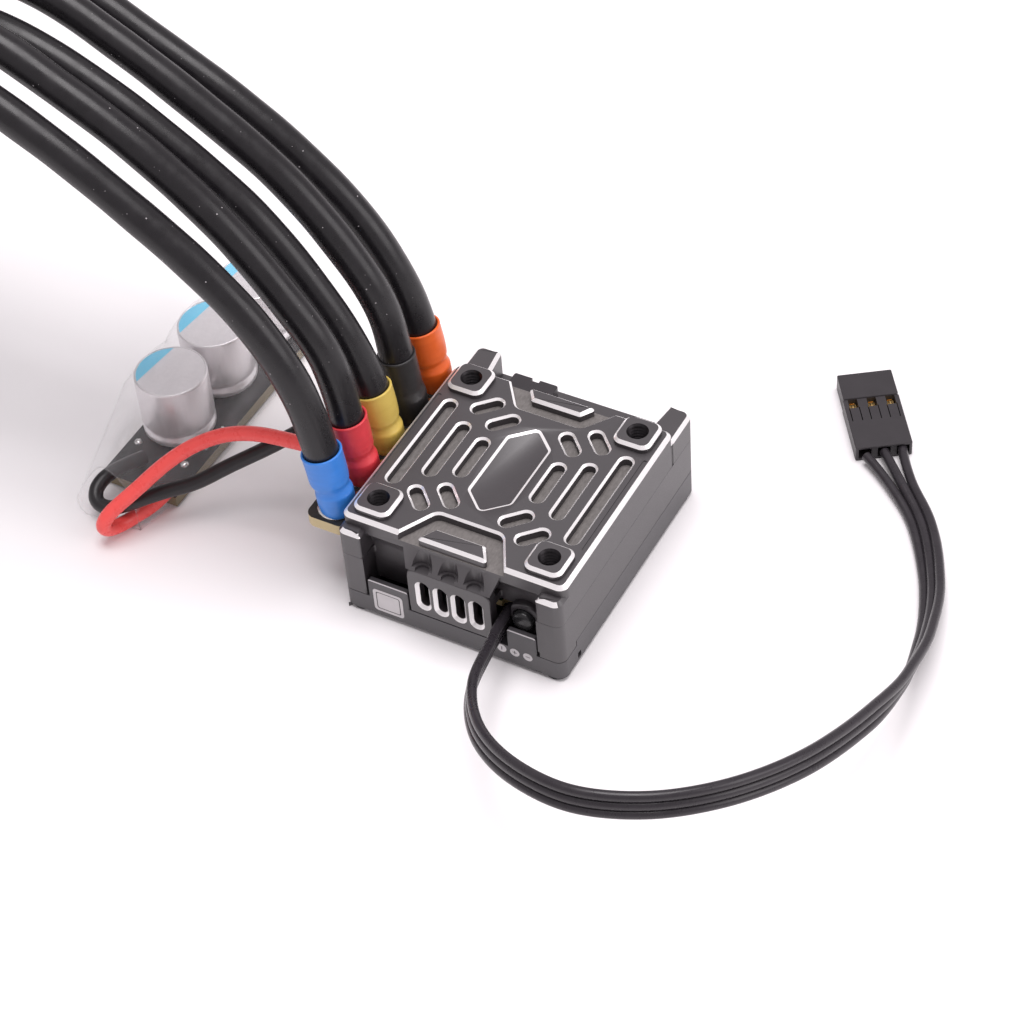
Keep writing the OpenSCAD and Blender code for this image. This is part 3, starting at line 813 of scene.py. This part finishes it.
LEAD_POS = [
    (-46.2, -12.9, 2.9), (-47.1, -15.2, 1.9), (-48.8, -18.3, 1.25), (-49.8, -20.9, 1.4), (-50.2, -22.7, 2.3),
    (-50.1, -23.2, 3.7), (-49.5, -22.3, 5.1), (-48.2, -20.4, 6.4), (-46.5, -18.2, 8), (-44.1, -15.1, 10.4),
    (-41.1, -12.1, 12.4), (-37.5, -9.6, 13.6), (-33.5, -8.4, 14.2), (-29.9, -8.1, 14.5), (-21.6, -7.4, 14.7),
]
LEAD_NEG = [
    (-52.6, -9.5, 3), (-53.5, -12.6, 3.9), (-54.3, -15.6, 4.4), (-54.8, -17.3, 3.9), (-54.3, -18.9, 3.1),
    (-52.7, -19.7, 2.8), (-51.1, -19.3, 2.9), (-49.1, -18.4, 3.8), (-46.5, -17.1, 5.1), (-44.3, -15.1, 5.5),
    (-41.6, -13.3, 6.1), (-37.8, -10.3, 8.2), (-33, -7, 10.8), (-29.8, -4.3, 12.6), (-25.6, 0.9, 14.2),
    (-21.6, 4.7, 14.6),
]
CABLE_ROUTE = [
    (6.75, -15.2, 5.8), (6.8, -18.4, 5.8), (7.7, -23, 6.9), (10.3, -31.6, 9.7), (16.2, -39.7, 13.2),
    (23.6, -44.4, 15.8), (31.6, -45.9, 17.2), (39.4, -43.4, 17.4), (46.1, -37.6, 16.4), (51.4, -28, 13.6),
    (54.4, -15.2, 9.4), (54.9, -5, 6), (53.6, 5, 3.4), (50.7, 14.5, 1.6), (45.3, 24.3, 1),
    (40, 30, 1.1), (35.9, 34.3, 1.25),
]
# the cable's turn from flat at each point, in degrees
CABLE_TURN = [96, 100, 103, 102, 102, 103, 104, 104, 103, 102, 98, 78, 54, 36, 14, 4, 0]
CORE_D = 1.3
CORE_PITCH = 1.2


def make_leads():
    for name, node, points, material, slot_name in (
        ("lead_red", "capacitor_lead_pos", LEAD_POS, SILICONE_RED, "silicone_red"),
        ("lead_black", "capacitor_lead_neg", LEAD_NEG, SILICONE_THIN, "silicone_black"),
    ):
        route = smooth_route(points, 0.5)
        for _ in range(14):
            middle = [(a + b * 2 + c) / 4 for a, b, c in zip(route, route[1:], route[2:])]
            route = [route[0]] + middle + [route[-1]]
        frames = frames_along(route, (0, 0, 1))
        lead = piece(name, sweep(route, lambda k, share: circle(LEAD_D / 2, 20), frames),
                     [material], node, slot_name, smooth=60)
        length_of(route) * MM


def cable_frames(route):
    """Side and top vectors turned from flat by the angles given along the route."""
    marks = [0.0]
    for a, b in zip(CABLE_ROUTE, CABLE_ROUTE[1:]):
        marks.append(marks[-1] + (Vector(b) - Vector(a)).length)
    out, run = [], 0.0
    total = length_of(route)
    for i, p in enumerate(route):
        if i:
            run += (p - route[i - 1]).length
        at = run / total * marks[-1]
        k = max(j for j in range(len(marks) - 1) if marks[j] <= at + 1e-6)
        t = min(1, (at - marks[k]) / (marks[k + 1] - marks[k]))
        t = t * t * (3 - 2 * t)
        turn = math.radians(CABLE_TURN[k] + (CABLE_TURN[k + 1] - CABLE_TURN[k]) * t)
        way = (route[min(i + 1, len(route) - 1)] - route[max(i - 1, 0)]).normalized()
        side = way.cross(Vector((0, 0, 1))).normalized()
        top = side.cross(way)
        out.append((way, side * math.cos(turn) + top * math.sin(turn),
                    top * math.cos(turn) - side * math.sin(turn)))
    return out


def make_receiver_cable():
    """Three moulded-together cores that part just before the plug."""
    route = smooth_route(CABLE_ROUTE, 0.7)
    frames = cable_frames(route)
    total = length_of(route)
    solids = []
    for core in (-1, 0, 1):
        line = []
        run = 0.0
        for i, (p, (way, side, top)) in enumerate(zip(route, frames)):
            if i:
                run += (p - route[i - 1]).length
            part = max(0.0, 1 - (total - run) / 11)
            spread = CORE_PITCH + (CONTACT_PITCH - CORE_PITCH) * part ** 2.2
            line.append(p + side * core * spread + top * (0.18 * (core == 0) * math.sin(math.pi * part)))
        solids.append(sweep(line, lambda k, share: circle(CORE_D / 2, 16), frames_along(line, (0, 0, 1))))
    cable = piece("receiver_ribbon", joined(*solids), [CABLE], "receiver_cable", "cable_black", smooth=60)


def in_plug(bm):
    return turned(bm, "Z", math.degrees(PLUG_TURN), PLUG)


def make_plug():
    """A three-way servo plug: windows with latch tongues, contacts inside, cores going in behind."""
    half_w, half_l = PLUG_W / 2, PLUG_L / 2
    low_top = PLUG_T - 0.2
    body = block(-half_w, half_w, -half_l, 2.4, 0, low_top, 0.2, 0.1, 0.12, 3)
    raised = block(-half_w + 0.08, half_w - 0.08, 2.3, half_l, 0, PLUG_T, 0.2, 0.1, 0.12, 3)
    body = carved(body, [("UNION", raised)])
    cuts = []
    for i in (-1, 0, 1):
        x = i * CONTACT_PITCH
        cuts += [
            block(x - 0.85, x + 0.85, -half_l - 1, -half_l + 2.4, 0.42, 2.0, 0.3),
            block(x - 0.62, x + 0.62, 0.6, 2.25, 1.0, PLUG_T + 1, 0.08),
            block(x - 0.38, x + 0.38, half_l - 2, half_l + 1, 0.85, 1.65),
            # slits that free the latch tongue behind the window
            block(x - 0.73, x - 0.6, -1.9, 0.7, 1.5, PLUG_T + 1),
            block(x + 0.6, x + 0.73, -1.9, 0.7, 1.5, PLUG_T + 1),
        ]
    body = in_plug(cut_from(body, cuts))
    piece("servo_plug", body, [BLACK_PLASTIC], "receiver_plug", "plastic_black", edge=0.05)
    contacts = []
    for i in (-1, 0, 1):
        x = i * CONTACT_PITCH
        contacts.append(block(x - 0.57, x + 0.57, 0.65, 2.2, 0.75, 1.5, 0.1, 0.1))
        contacts.append(block(x - 0.2, x + 0.2, 0.9, 1.9, 1.45, 1.66, 0.1, 0.08))
        contacts.append(block(x - 0.34, x + 0.34, 2.2, half_l - 0.1, 0.95, 1.55))
    piece("servo_contacts", in_plug(joined(*contacts)), [GOLD],
          "receiver_contacts", "contact_gold", edge=0.02)


make_leads()
make_plug()
make_receiver_cable()


# ---------- case ----------

def at_fan_holes():
    return [(x * FAN_HALF, FAN_Y + y * FAN_HALF) for x in (-1, 1) for y in (-1, 1)]


def thread_cutter(r_minor, r_major, pitch, z0, z1):
    """A tapped hole: a zig-zag wall with a small countersink at its mouth."""
    profile = [(0, z0)]
    z = z0
    while z < z1 - 0.3:
        profile += [(r_minor, z), (r_major, z + pitch * 0.45), (r_major, z + pitch * 0.55)]
        z += pitch
    profile += [(r_minor, z1 - 0.24), (r_minor + 0.24, z1), (r_minor + 0.5, z1 + 0.26), (0, z1 + 0.26)]
    return lathe(profile, 32)


def plate_cutters():
    """Slots and the hexagon of the fan plate."""
    slots = [(x, 0, 0, reach) for x, reach in ((12.67, 7.25), (9.05, 4.26), (5.44, 2.75))]
    slots = [(s * x, y, a, reach) for s in (-1, 1) for x, y, a, reach in slots]
    for sx in (-1, 1):
        for sy in (-1, 1):
            slots.append((sx * 4.8, sy * 7.2, sx * sy * 45, 1.25))
            slots.append((sx * 8.05, sy * 9.05, sx * sy * 45, 1.25))
    cutters = [
        pocket(obround(x, FAN_Y + y, a, reach, 0.85), TOP - SLOT_DEPTH, TOP, 0.28)
        for x, y, a, reach in slots
    ]
    floor = [(0, -7.7), (2.85, -5.1), (2.85, 5.1), (0, 7.7), (-2.85, 5.1), (-2.85, -5.1)]
    floor = rounded([(x, y + FAN_Y) for x, y in floor], 0.6, 4)
    cutters.append(prism([(floor, TOP - 0.17), (grown(floor, 0.34), TOP), (grown(floor, 1.34), TOP + 0.5)]))
    return cutters


def notch_cutter(edge, inner, wide, narrow, toward):
    """The sunk trapezoid at the front or back edge."""
    out = edge + toward * 2.2
    skew = (wide - narrow) / abs(inner - edge) * 2.2
    corners = [(-narrow, inner), (-wide - skew, out), (wide + skew, out), (narrow, inner)]
    if toward > 0:
        corners.reverse()
    loop = rounded(corners, [1.3, 0, 0, 1.3], 7)
    return pocket(loop, NOTCH_FLOOR, TOP, 0.3)


def paint_plate(face):
    """Bright cut on the 45 degree edges, milled grey on the pocket floors."""
    n, c = face.normal, face.calc_center_median() / MM
    near_top = c.z > 14.95
    if 0.35 < abs(n.z) < 0.93 and (near_top or (c.z > 13.55 and (c.y < -18.1 or c.y > 13.2))):
        if Vector((n.x, n.y)).length > 0.3 and not in_hole(c):
            return 1
    if in_hole(c) and Vector((n.x, n.y)).length > 0.3:
        return 3
    if n.z > 0.9 and 14.3 < c.z < 14.6 and PLATE_FRONT < c.y < PLATE_BACK:
        return 2
    return 0


def in_hole(c):
    return any((c.x - x) ** 2 + (c.y - y) ** 2 < 1.9 ** 2 for x, y in at_fan_holes())


def post_outline(s, inner):
    """A front corner post on side s (-1 or 1); 'inner' is the radius of its two rear corners."""
    x0, x1 = sorted((s * POST_X, s * HALF_W))
    front = [0.3, 1.2] if s > 0 else [1.2, 0.3]
    return rounded([(x0, FRONT), (x1, FRONT), (x1, -15.0), (x0, -15.0)], front + [inner, inner], 8)


def make_top_housing():
    plate = slab(rectangle(-HALF_W, HALF_W, PLATE_FRONT, PLATE_BACK, 1.2, 8), PLATE_UNDER, TOP, 0.5)
    first = [("DIFFERENCE", c) for c in plate_cutters()]
    first.append(("DIFFERENCE", notch_cutter(-16.75, -12.15, 7.17, 4.6, -1)))
    first.append(("DIFFERENCE", notch_cutter(12.45, 8.65, 7.4, 4.6, 1)))
    # dark grooves beside the side edges
    for s in (-1, 1):
        x0, x1 = sorted((s * 14.5, s * 15.05))
        first.append(("DIFFERENCE", block(x0, x1, -10.4, 6.7, TOP - 0.12, TOP + 1, 0.2)))
    plate = carved(plate, first)

    def tab(edge, inner, wide, narrow):
        corners = [(-wide, edge), (wide, edge), (narrow, inner), (-narrow, inner)]
        if inner < edge:
            corners.reverse()
        return slab(rounded(corners, 0.35, 4), 13.6, TOP, 0.4)

    shells = [tab(-17.05, -14.5, 5.0, 3.45), tab(12.75, 10.65, 4.9, 3.5)]
    grow = []
    # brow that slopes from the notch to the slotted panel
    brow = prism([
        (rectangle(-5.9, 5.9, FRONT, -15.5), 11.3),
        (rectangle(-6.95, 6.95, -17.15, -15.5), 14.38),
    ])
    flutes = []
    for x in FLUTE_X:
        flutes.append(placed(rod(1.45, 0, 4, 36), x, -18.65, 11.75))
        flutes.append(placed(rod(0.95, 0, 4, 30), x, -18.45, 11))
    grow.append(cut_from(brow, flutes))
    for x, y in at_fan_holes():
        grow.append(slab(rectangle(x - 2.6, x + 2.6, y - 2.6, y + 2.6, 1.3, 8), TOP - 0.5, TOP + 1.0, 0.4))
    for s in (-1, 1):
        # walls at the sides; the left one stops above the power board
        x0, x1 = sorted((s * 14.2, s * HALF_W))
        low = FRAME_TOP if s > 0 else BOARD_TOP + 0.3
        grow.append(block(x0, x1, -16.5, PLATE_BACK - 0.02, low, PLATE_UNDER + 0.4, 0.3))
        # front corner posts and back horns, with bright top edges
        grow.append(slab(post_outline(s, 0), FRAME_TOP, POST_TOP, 0.5))
        start = PLATE_BACK - 0.8
        horn = [(s * 11.5, start), (s * HALF_W, start), (s * HALF_W, BACK), (s * POST_X, BACK)]
        if s < 0:
            horn.reverse()
            radii = [0.3, 1.2, 0, 0]
        else:
            radii = [0, 0, 1.2, 0.3]
        grow.append(slab(rounded(horn, radii, 8), FRAME_TOP, POST_TOP, 0.45))
        # wall behind each front recess, leaning inwards as it goes down
        x0, x1 = sorted((s * 5.5, s * 12.6))
        lean = [(-15.93, 8.6), (-15.94, 10.6), (-16.06, 11.4), (-16.35, 12.3), (-16.8, 13.2), (-17.22, 13.85)]
        shells.append(prism([(rectangle(x0, x1, y, -14.9), z) for y, z in lean]))
    holes = [
        ("DIFFERENCE", placed(thread_cutter(1.2, 1.5, 0.5, PLATE_UNDER - 1, TOP + 1.0), x, y))
        for x, y in at_fan_holes()
    ]
    whole = carved(plate, [("UNION", g) for g in grow] + holes)
    whole = joined(whole, *shells)
    piece("fan_plate_housing", whole, [BLACK_CASE, BRIGHT, FLOOR_GREY, THREAD],
          "top_housing", "anodised_case", edge=0.04, paint=paint_plate)


def make_middle_frame():
    frame_block = block(-HALF_W, HALF_W, FRONT, BACK, TRAY_TOP, FRAME_TOP, 1.2, 0.07, 0.07, 8)
    cuts = [
        block(-14.2, 14.2, -17.2, 17.1, TRAY_TOP - 1, FRAME_TOP - 1),
        block(-13.3, 13.3, -14, 14.1, FRAME_TOP - 2, FRAME_TOP + 1),
        # sensor socket's opening at the back
        block(-9.4, -2.2, 13.0, 16.4, FRAME_TOP - 4, FRAME_TOP + 1, 0.3),
    ]
    for s in (-1, 1):
        x0, x1 = sorted((s * 5.85, s * 12.25))
        cuts.append(block(x0, x1, FRONT - 1, -15.9, TRAY_TOP - 1, FRAME_TOP + 1, 0.5))
    cuts.append(block(-5.95, 5.95, -17.3, -15.9, TRAY_TOP - 1, FRAME_TOP + 1))
    grow = []
    for s in (-1, 1):
        grow.append(slab(post_outline(s, 0.2), TRAY_FRONT_TOP, FRAME_TOP, 0.07, 0.07))
    # slotted panel, its top corners rounded, standing on the tray
    low = TRAY_FRONT_TOP + 0.05
    outline = [(-PANEL_HALF, low), (PANEL_HALF, low), (PANEL_HALF, PANEL_TOP), (-PANEL_HALF, PANEL_TOP)]
    outline = rounded(outline, [0.1, 0.1, 1.1, 1.1], 6)
    panel = slab(outline, 0, 1.5, 0.12)
    grow.append(facing_front(panel, y=FRONT + 1.5))
    grow.append(block(-5.9, 5.9, -17.3, -14.9, FRAME_TOP - 1.2, FRAME_TOP))
    grow.append(block(7.8, 12.25, -15.9, -14.9, TRAY_TOP + 0.1, FRAME_TOP))
    grow.append(block(-12.25, -7.0, -15.9, -14.9, TRAY_TOP + 0.1, FRAME_TOP))
    slots = []
    for i in range(4):
        x = (i - 1.5) * PANEL_SLOT_PITCH
        cutter = pocket(obround(0, 0, 0, 1.45, 0.65), -3, 0, 0.42)
        slots.append(facing_front(cutter, x, FRONT, PANEL_SLOT_Z))
    # the button slides in a bore through the recess wall
    bore = turned(rod(1.62, 0, 4, 40), "X", 90, (BUTTON.x, -14, BUTTON.z))
    whole = carved(frame_block, [("DIFFERENCE", c) for c in cuts] + [("UNION", g) for g in grow]
                   + [("DIFFERENCE", c) for c in slots + [bore]])

    def paint(face):
        n, c = face.normal, face.calc_center_median() / MM
        if c.y < -18.2 and 4.2 < c.z < 10.2 and abs(c.x) < 5.6 and -0.93 < n.y < -0.4:
            return 1
        return 0

    piece("frame_with_panel", whole, [BLACK_CASE, BRIGHT],
          "middle_frame", "anodised_case", edge=0.04, paint=paint)


def make_base_tray():
    tray = block(-HALF_W, HALF_W, FRONT, BACK, 0, TRAY_TOP - 0.03, 1.2, 0.07, 0.55, 8)
    cuts = [
        block(-14.2, 14.2, -17.2, 17.1, 1.2, TRAY_TOP + 1),
        block(-HALF_W - 1, HALF_W + 1, FRONT - 1, -15.0, TRAY_FRONT_TOP - 0.03, TRAY_TOP + 1),
        # small bottom notches near the front right corner
        block(11.7, 12.7, FRONT - 1, FRONT + 0.35, -1, 0.75),
        block(HALF_W - 0.3, HALF_W + 1, -14.9, -14.1, 0.9, 1.9),
    ]
    grow = []
    for s in (-1, 1):
        x0, x1 = (7.9, 12.0) if s > 0 else (-12.0, -6.15)
        lip = rounded([(x0, 1.3), (x1, 1.3), (x1, LIP_TOP), (x0, LIP_TOP)], [0, 0, 0.35, 0.35], 5)
        lip = slab(lip, 0, LIP_T, 0.1)
        grow.append(facing_front(lip, y=FRONT + LIP_T))
    # fine teeth on the bevelled bottom corners at the front
    teeth = []
    for s in (-1, 1):
        cx, cy = s * (HALF_W - 1.2), FRONT + 1.2
        for k in range(8):
            a = math.radians(-90 + s * (k * 11 + 2))
            tooth = block(-0.035, 0.035, 0.55, 1.5, -0.2, 0.62)
            tooth = turned(tooth, "Z", math.degrees(a) - 90, (cx, cy, 0))
            teeth.append(("DIFFERENCE", tooth))
    for x in (-13.9, 13.9):
        for y in (-16.9, 16.4):
            cuts.append(placed(rod(1.65, -0.1, 1.2, 32), x, y))
    whole = carved(tray, [("DIFFERENCE", c) for c in cuts] + [("UNION", g) for g in grow] + teeth)

    def paint(face):
        n, c = face.normal, face.calc_center_median() / MM
        return 1 if c.z > LIP_TOP - 0.2 and c.y < -18.5 and n.z > 0.3 else 0

    piece("tray_shell", whole, [TRAY_CASE, MARK], "base_tray", "anodised_case", edge=0.04, paint=paint)


def front_mark(name, solids):
    """Light marks etched on the tray's front face, a hair proud of it."""
    piece(name, facing_front(joined(*solids), y=FRONT), [MARK], (), "anodised_case")


def make_marks():
    thin = 0.02
    badge = cut_from(
        slab(rectangle(-11.35, -7.05, 1.35, 5.2, 0.5), -0.05, thin),
        [slab(rectangle(-10.95, -7.45, 1.75, 4.8, 0.3), -1, 1)],
    )
    inner = slab(rectangle(-10.8, -7.6, 1.9, 4.65, 0.25), -0.05, thin)
    front_mark("badge_mark", [badge, inner])
    dots = []
    for i, x in enumerate((7.04, 8.87, 10.71)):
        ring = slab(arc(x, 2.67, 0.66, 0, 345, 23), -0.05, thin)
        strokes = []
        if i < 2:
            strokes.append(block(x - 0.07, x + 0.07, 2.35, 2.99, -1, 1))
        if i > 0:
            strokes.append(block(x - 0.32, x + 0.32, 2.6, 2.74, -1, 1))
        dots.append(cut_from(ring, strokes))
    front_mark("dot_marks", dots)


def make_button():
    profile = [
        (0, -2.2), (1.5, -2.2), (1.49, 0.0), (1.4, 0.22), (1.2, 0.4), (0.9, 0.52), (0.5, 0.585), (0, 0.6),
    ]
    dome = lathe(profile, 48)
    dome = turned(dome, "X", 90, (BUTTON.x, BUTTON.y, BUTTON.z))
    flange = block(-1.95, 1.95, -14.84, -14.4, BUTTON.z - 0.8, BUTTON.z + 0.8, 0.1)
    dome = joined(dome, placed(flange, BUTTON.x, 0))
    piece("button_cap", dome, [BUTTON_BLACK], "power_button", "button_black", body="button", smooth=50)
    ring = [(1.58, 0), (1.58, 0.85), (1.7, 1.0), (2.1, 1.0), (2.35, 0.9), (2.45, 0.7), (2.45, 0), (1.58, 0)]
    bm = bmesh.new()
    loops = []
    for k in range(56):
        a = math.tau * k / 56
        loops.append([
            bm.verts.new((r * math.cos(a) * MM, r * math.sin(a) * MM, z * MM)) for r, z in ring[:-1]
        ])
    for k in range(56):
        low, high = loops[k], loops[(k + 1) % 56]
        for j in range(len(low)):
            n = (j + 1) % len(low)
            bm.faces.new((low[j], low[n], high[n], high[j]))
    bmesh.ops.recalc_face_normals(bm, faces=bm.faces)
    bm = turned(bm, "X", 90, (BUTTON.x, -15.9, BUTTON.z))
    bm = cut_from(bm, [block(2.0, 7.8, -18, -15, 3, 12)])
    piece("button_ring", bm, [BLACK_PLASTIC], "button_collar", "plastic_black", smooth=40)


make_top_housing()
make_middle_frame()
make_base_tray()
make_marks()
make_button()


# ---------- solder, plated holes and sensor socket ----------

def make_solder():
    """A tinned ring pad and a bead of solder at each wire's foot."""
    beads = []
    for y in WIRE_Y:
        bead = lathe([(0, 0), (2.42, 0), (2.44, 0.1), (2.3, 0.3), (2.0, 0.5), (1.7, 0.6), (0, 0.6)], 40)
        beads.append(placed(bead, WIRE_X, y, BOARD_TOP))
    piece("solder_beads", joined(*beads), [SOLDER], "solder_joints", "solder", smooth=60)


def make_pads():
    """Small plated holes between the wires."""
    rings = []
    for i in range(4):
        y = (WIRE_Y[i] + WIRE_Y[i + 1]) / 2
        for dx, r in ((1.55, 0.62), (-1.1, 0.42)):
            for q in (-0.25, 0.25) if dx < 0 else (0,):
                ring = cut_from(rod(r, -0.02, 0.03, 24), [rod(r * 0.55, -1, 1, 20)])
                rings.append(placed(ring, WIRE_X + dx, y + q * 3, BOARD_TOP))
    piece("board_pads", joined(*rings), [GOLD], (), "contact_gold", smooth=40)


def make_sensor_socket():
    body = block(-9, -2.6, 13.1, 16.2, 6.5, 13.7, 0.3, 0.15, 0, 4)
    cuts = [block(-8.3, -3.3, 14.2, 17, 10.5, 13.1, 0.2), block(-6.4, -5.2, 15.6, 17, 12.8, 14.5)]
    piece("sensor_port", cut_from(body, cuts), [BLACK_PLASTIC],
          "sensor_socket", "plastic_black", edge=0.04)


make_solder()
make_pads()
make_sensor_socket()


# ---------- capacitor pack ----------

def make_cans():
    """Three lacquered cans with a rolled top rim and a rolled-in waist near the bung."""
    profile = [
        (0, 2.3), (4.5, 2.3), (4.85, 2.38), (5.0, 2.62), (5.0, 3.1), (4.93, 3.35), (4.72, 3.6), (4.62, 3.9),
        (4.72, 4.2), (4.93, 4.45), (5.0, 4.7), (5.0, 11.55), (4.96, 11.76), (4.86, 11.88), (4.76, 11.9),
        (4.7, 11.85), (4.66, 11.8), (0, 11.8),
    ]
    cans = [placed(lathe(profile, 64), CAN_X, y) for y in CAN_Y]
    piece("can_bodies", joined(*cans), [CAN], "capacitor_cans", "can_aluminium", smooth=40)
    # printed segment over part of each top
    prints = []
    for y in CAN_Y:
        segment = slab(arc(0, 0, 4.64, 118, 229, 26), 0, 0.015)
        prints.append(placed(segment, CAN_X, y, 11.795))
    piece("can_prints", joined(*prints), [CYAN], (), "can_aluminium")
    # solder where the leads and legs pass through the board
    board_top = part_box("capacitor_board")[1][2] / MM
    dots = []
    for x, y, r in (
        (-55.7, -6.4, 0.6), (-54.2, -8.3, 0.5), (-47.6, -7.4, 0.65), (-46.6, -3.6, 0.4), (-46.6, 0.6, 0.4),
    ):
        bead = lathe([(0, -0.05), (r, -0.05), (r * 0.92, 0.12), (r * 0.6, 0.3), (0, 0.38)], 20)
        dots.append(placed(bead, x, y, board_top))
    piece("pack_solder", joined(*dots), [SOLDER], (), "solder", smooth=60)


# the film's open mouth, from its low right corner anticlockwise round
MOUTH = [
    (-47.4, -18.9, 0.1), (-47.7, -18.6, 1.2), (-48.3, -18.0, 2.6), (-49.3, -17.3, 4.0), (-51.0, -16.5, 5.2),
    (-52.7, -16.1, 6.0), (-54.7, -16.0, 6.2), (-55.9, -16.9, 5.0), (-56.7, -18.0, 3.6), (-57.1, -18.9, 2.0),
    (-56.7, -19.3, 0.9), (-55.6, -19.5, 0.2), (-53.7, -19.3, 0.1), (-50.5, -19.2, 0.1),
]
FILM_SIDES = 72


def film_outline(y):
    """The film across board and cans at y, in the mouth's order."""
    over = math.sqrt(max(0.0, 1 - min(abs(y - c) for c in CAN_Y) ** 2 / 25.0))
    top = 11.55 + 0.5 * over
    half = 4.45 + 0.7 * over
    right, left = CAN_X + half, CAN_X - half
    return [
        Vector((x, y, z)) for x, z in (
            (-44.6, 0.15), (-44.5, 1.3), (-44.7, 2.4), (-46.4, 6.6), (right, 9.8), (right - 0.05, 11.4),
            (right - 0.9, top + 0.1), (CAN_X, top + 0.14), (left + 0.9, top + 0.1), (left + 0.05, 11.3),
            (left - 0.1, 6), (-57.8, 1.6), (-57.5, 0.15), (-51, 0.1),
        )
    ]


def make_clear_sleeve():
    """Clear tube shrunk over board and cans, narrowing to an open mouth at the front."""
    sections = [film_outline(26.4 - 0.6 * i) for i in range(55)]
    last = sections[-1]
    for i in range(1, 21):
        t = i / 20
        sections.append([a.lerp(Vector(b), t) for a, b in zip(last, MOUTH)])
    bm = bmesh.new()
    rings = []
    for i, points in enumerate(sections):
        loop = smooth_route(points + [points[0]], 0.2)
        ring = []
        for k in range(FILM_SIDES):
            p = loop[round(k * (len(loop) - 1) / FILM_SIDES)]
            wave = 0.05 * math.sin(k * 0.52 + i * 0.36) * math.sin(i * 0.54 + k * 0.21)
            out = (p - Vector((-51.5, p.y, 4))).normalized() * wave
            p = p + out
            ring.append(bm.verts.new((p.x * MM, p.y * MM, max(0.06, min(12.28, p.z)) * MM)))
        rings.append(ring)
    skin(bm, rings, False)
    rim = smooth_route([Vector(p) for p in MOUTH + MOUTH[:1]], 0.3)
    lip = sweep(rim, lambda k, share: circle(0.11, 10), frames_along(rim, (0, 1, 0)), False)
    bm = joined(bm, lip)
    film = piece("clear_wrap", bm, [CLEAR], "capacitor_sleeve", "clear_film", smooth=70)
    thick = film.modifiers.new("film", "SOLIDIFY")
    thick.thickness, thick.offset = 0.12 * MM, -1


make_cans()
make_clear_sleeve()


# ---------- finishes for the CAD pieces that stay ----------

KEPT = {
    "case_screws": BLACK_OXIDE,
    "power_board": BOARD_BLACK,
    "mosfets": CHIP,
    "thermal_pad": PAD_GREY,
    "control_board": BOARD_GREEN,
    "controller_chip": CHIP,
    "driver_chip": CHIP,
    "ceramic_capacitors": TAN,
    "converter_coil": COIL,
    "pin_header": BLACK_PLASTIC,
    "header_pins": GOLD,
    "tact_switch": BLACK_PLASTIC,
    "sensor_contacts": GOLD,
    "capacitor_seals": BUNG,
    "capacitor_legs": SOLDER,
    "capacitor_board": BOARD_SMALL,
}
for name, material in KEPT.items():
    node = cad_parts[name]
    node.data.materials.clear()
    node.data.materials.append(material)


# ---------- floor and light ----------

def make_stage():
    s = Shader("floor")
    s.surface(Base_Color=s.mix(s.noise(90.0, 2), (0.9, 0.885, 0.895), (0.93, 0.92, 0.925)), Roughness=0.75)
    s.set(s.bsdf, "Specular IOR Level", 0.15)
    bm = bmesh.new()
    bmesh.ops.create_grid(bm, x_segments=8, y_segments=8, size=3.0)
    floor_mesh = bpy.data.meshes.new("floor")
    floor_mesh.materials.append(s.material)
    bm.to_mesh(floor_mesh)
    bm.free()
    floor = linked("floor", floor_mesh)
    floor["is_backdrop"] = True


def area_light(name, place, target, size, power, colour=(1, 1, 1)):
    data = bpy.data.lights.new(name, "AREA")
    data.shape, data.size, data.size_y = "RECTANGLE", size[0], size[1]
    data.energy, data.color = power, colour
    lamp = linked(name, data)
    lamp.location = place
    lamp.rotation_euler = (Vector(target) - Vector(place)).to_track_quat("-Z", "Y").to_euler()


def make_light():
    world = bpy.data.worlds.new("studio")
    bpy.context.scene.world = world
    world.use_nodes = True
    background = world.node_tree.nodes["Background"]
    background.inputs["Color"].default_value = (1.0, 0.94, 0.97, 1)
    background.inputs["Strength"].default_value = 0.58
    area_light("overhead", (0.0, 0.06, 1.1), (0, 0, 0), (0.7, 0.7), 10, (1, 0.965, 0.98))
    area_light("right", (1.1, 0.2, 0.6), (0, 0, 0), (0.8, 0.8), 5, (1, 0.965, 0.98))
    bpy.context.scene.view_settings.view_transform = "Standard"


make_stage()
make_light()


# ---------- sizes of the CAD and the visual model ----------

def corners(box):
    return [list(box[0]), list(box[1])]


{"cad": corners(cad_box), "visual": corners(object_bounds())}
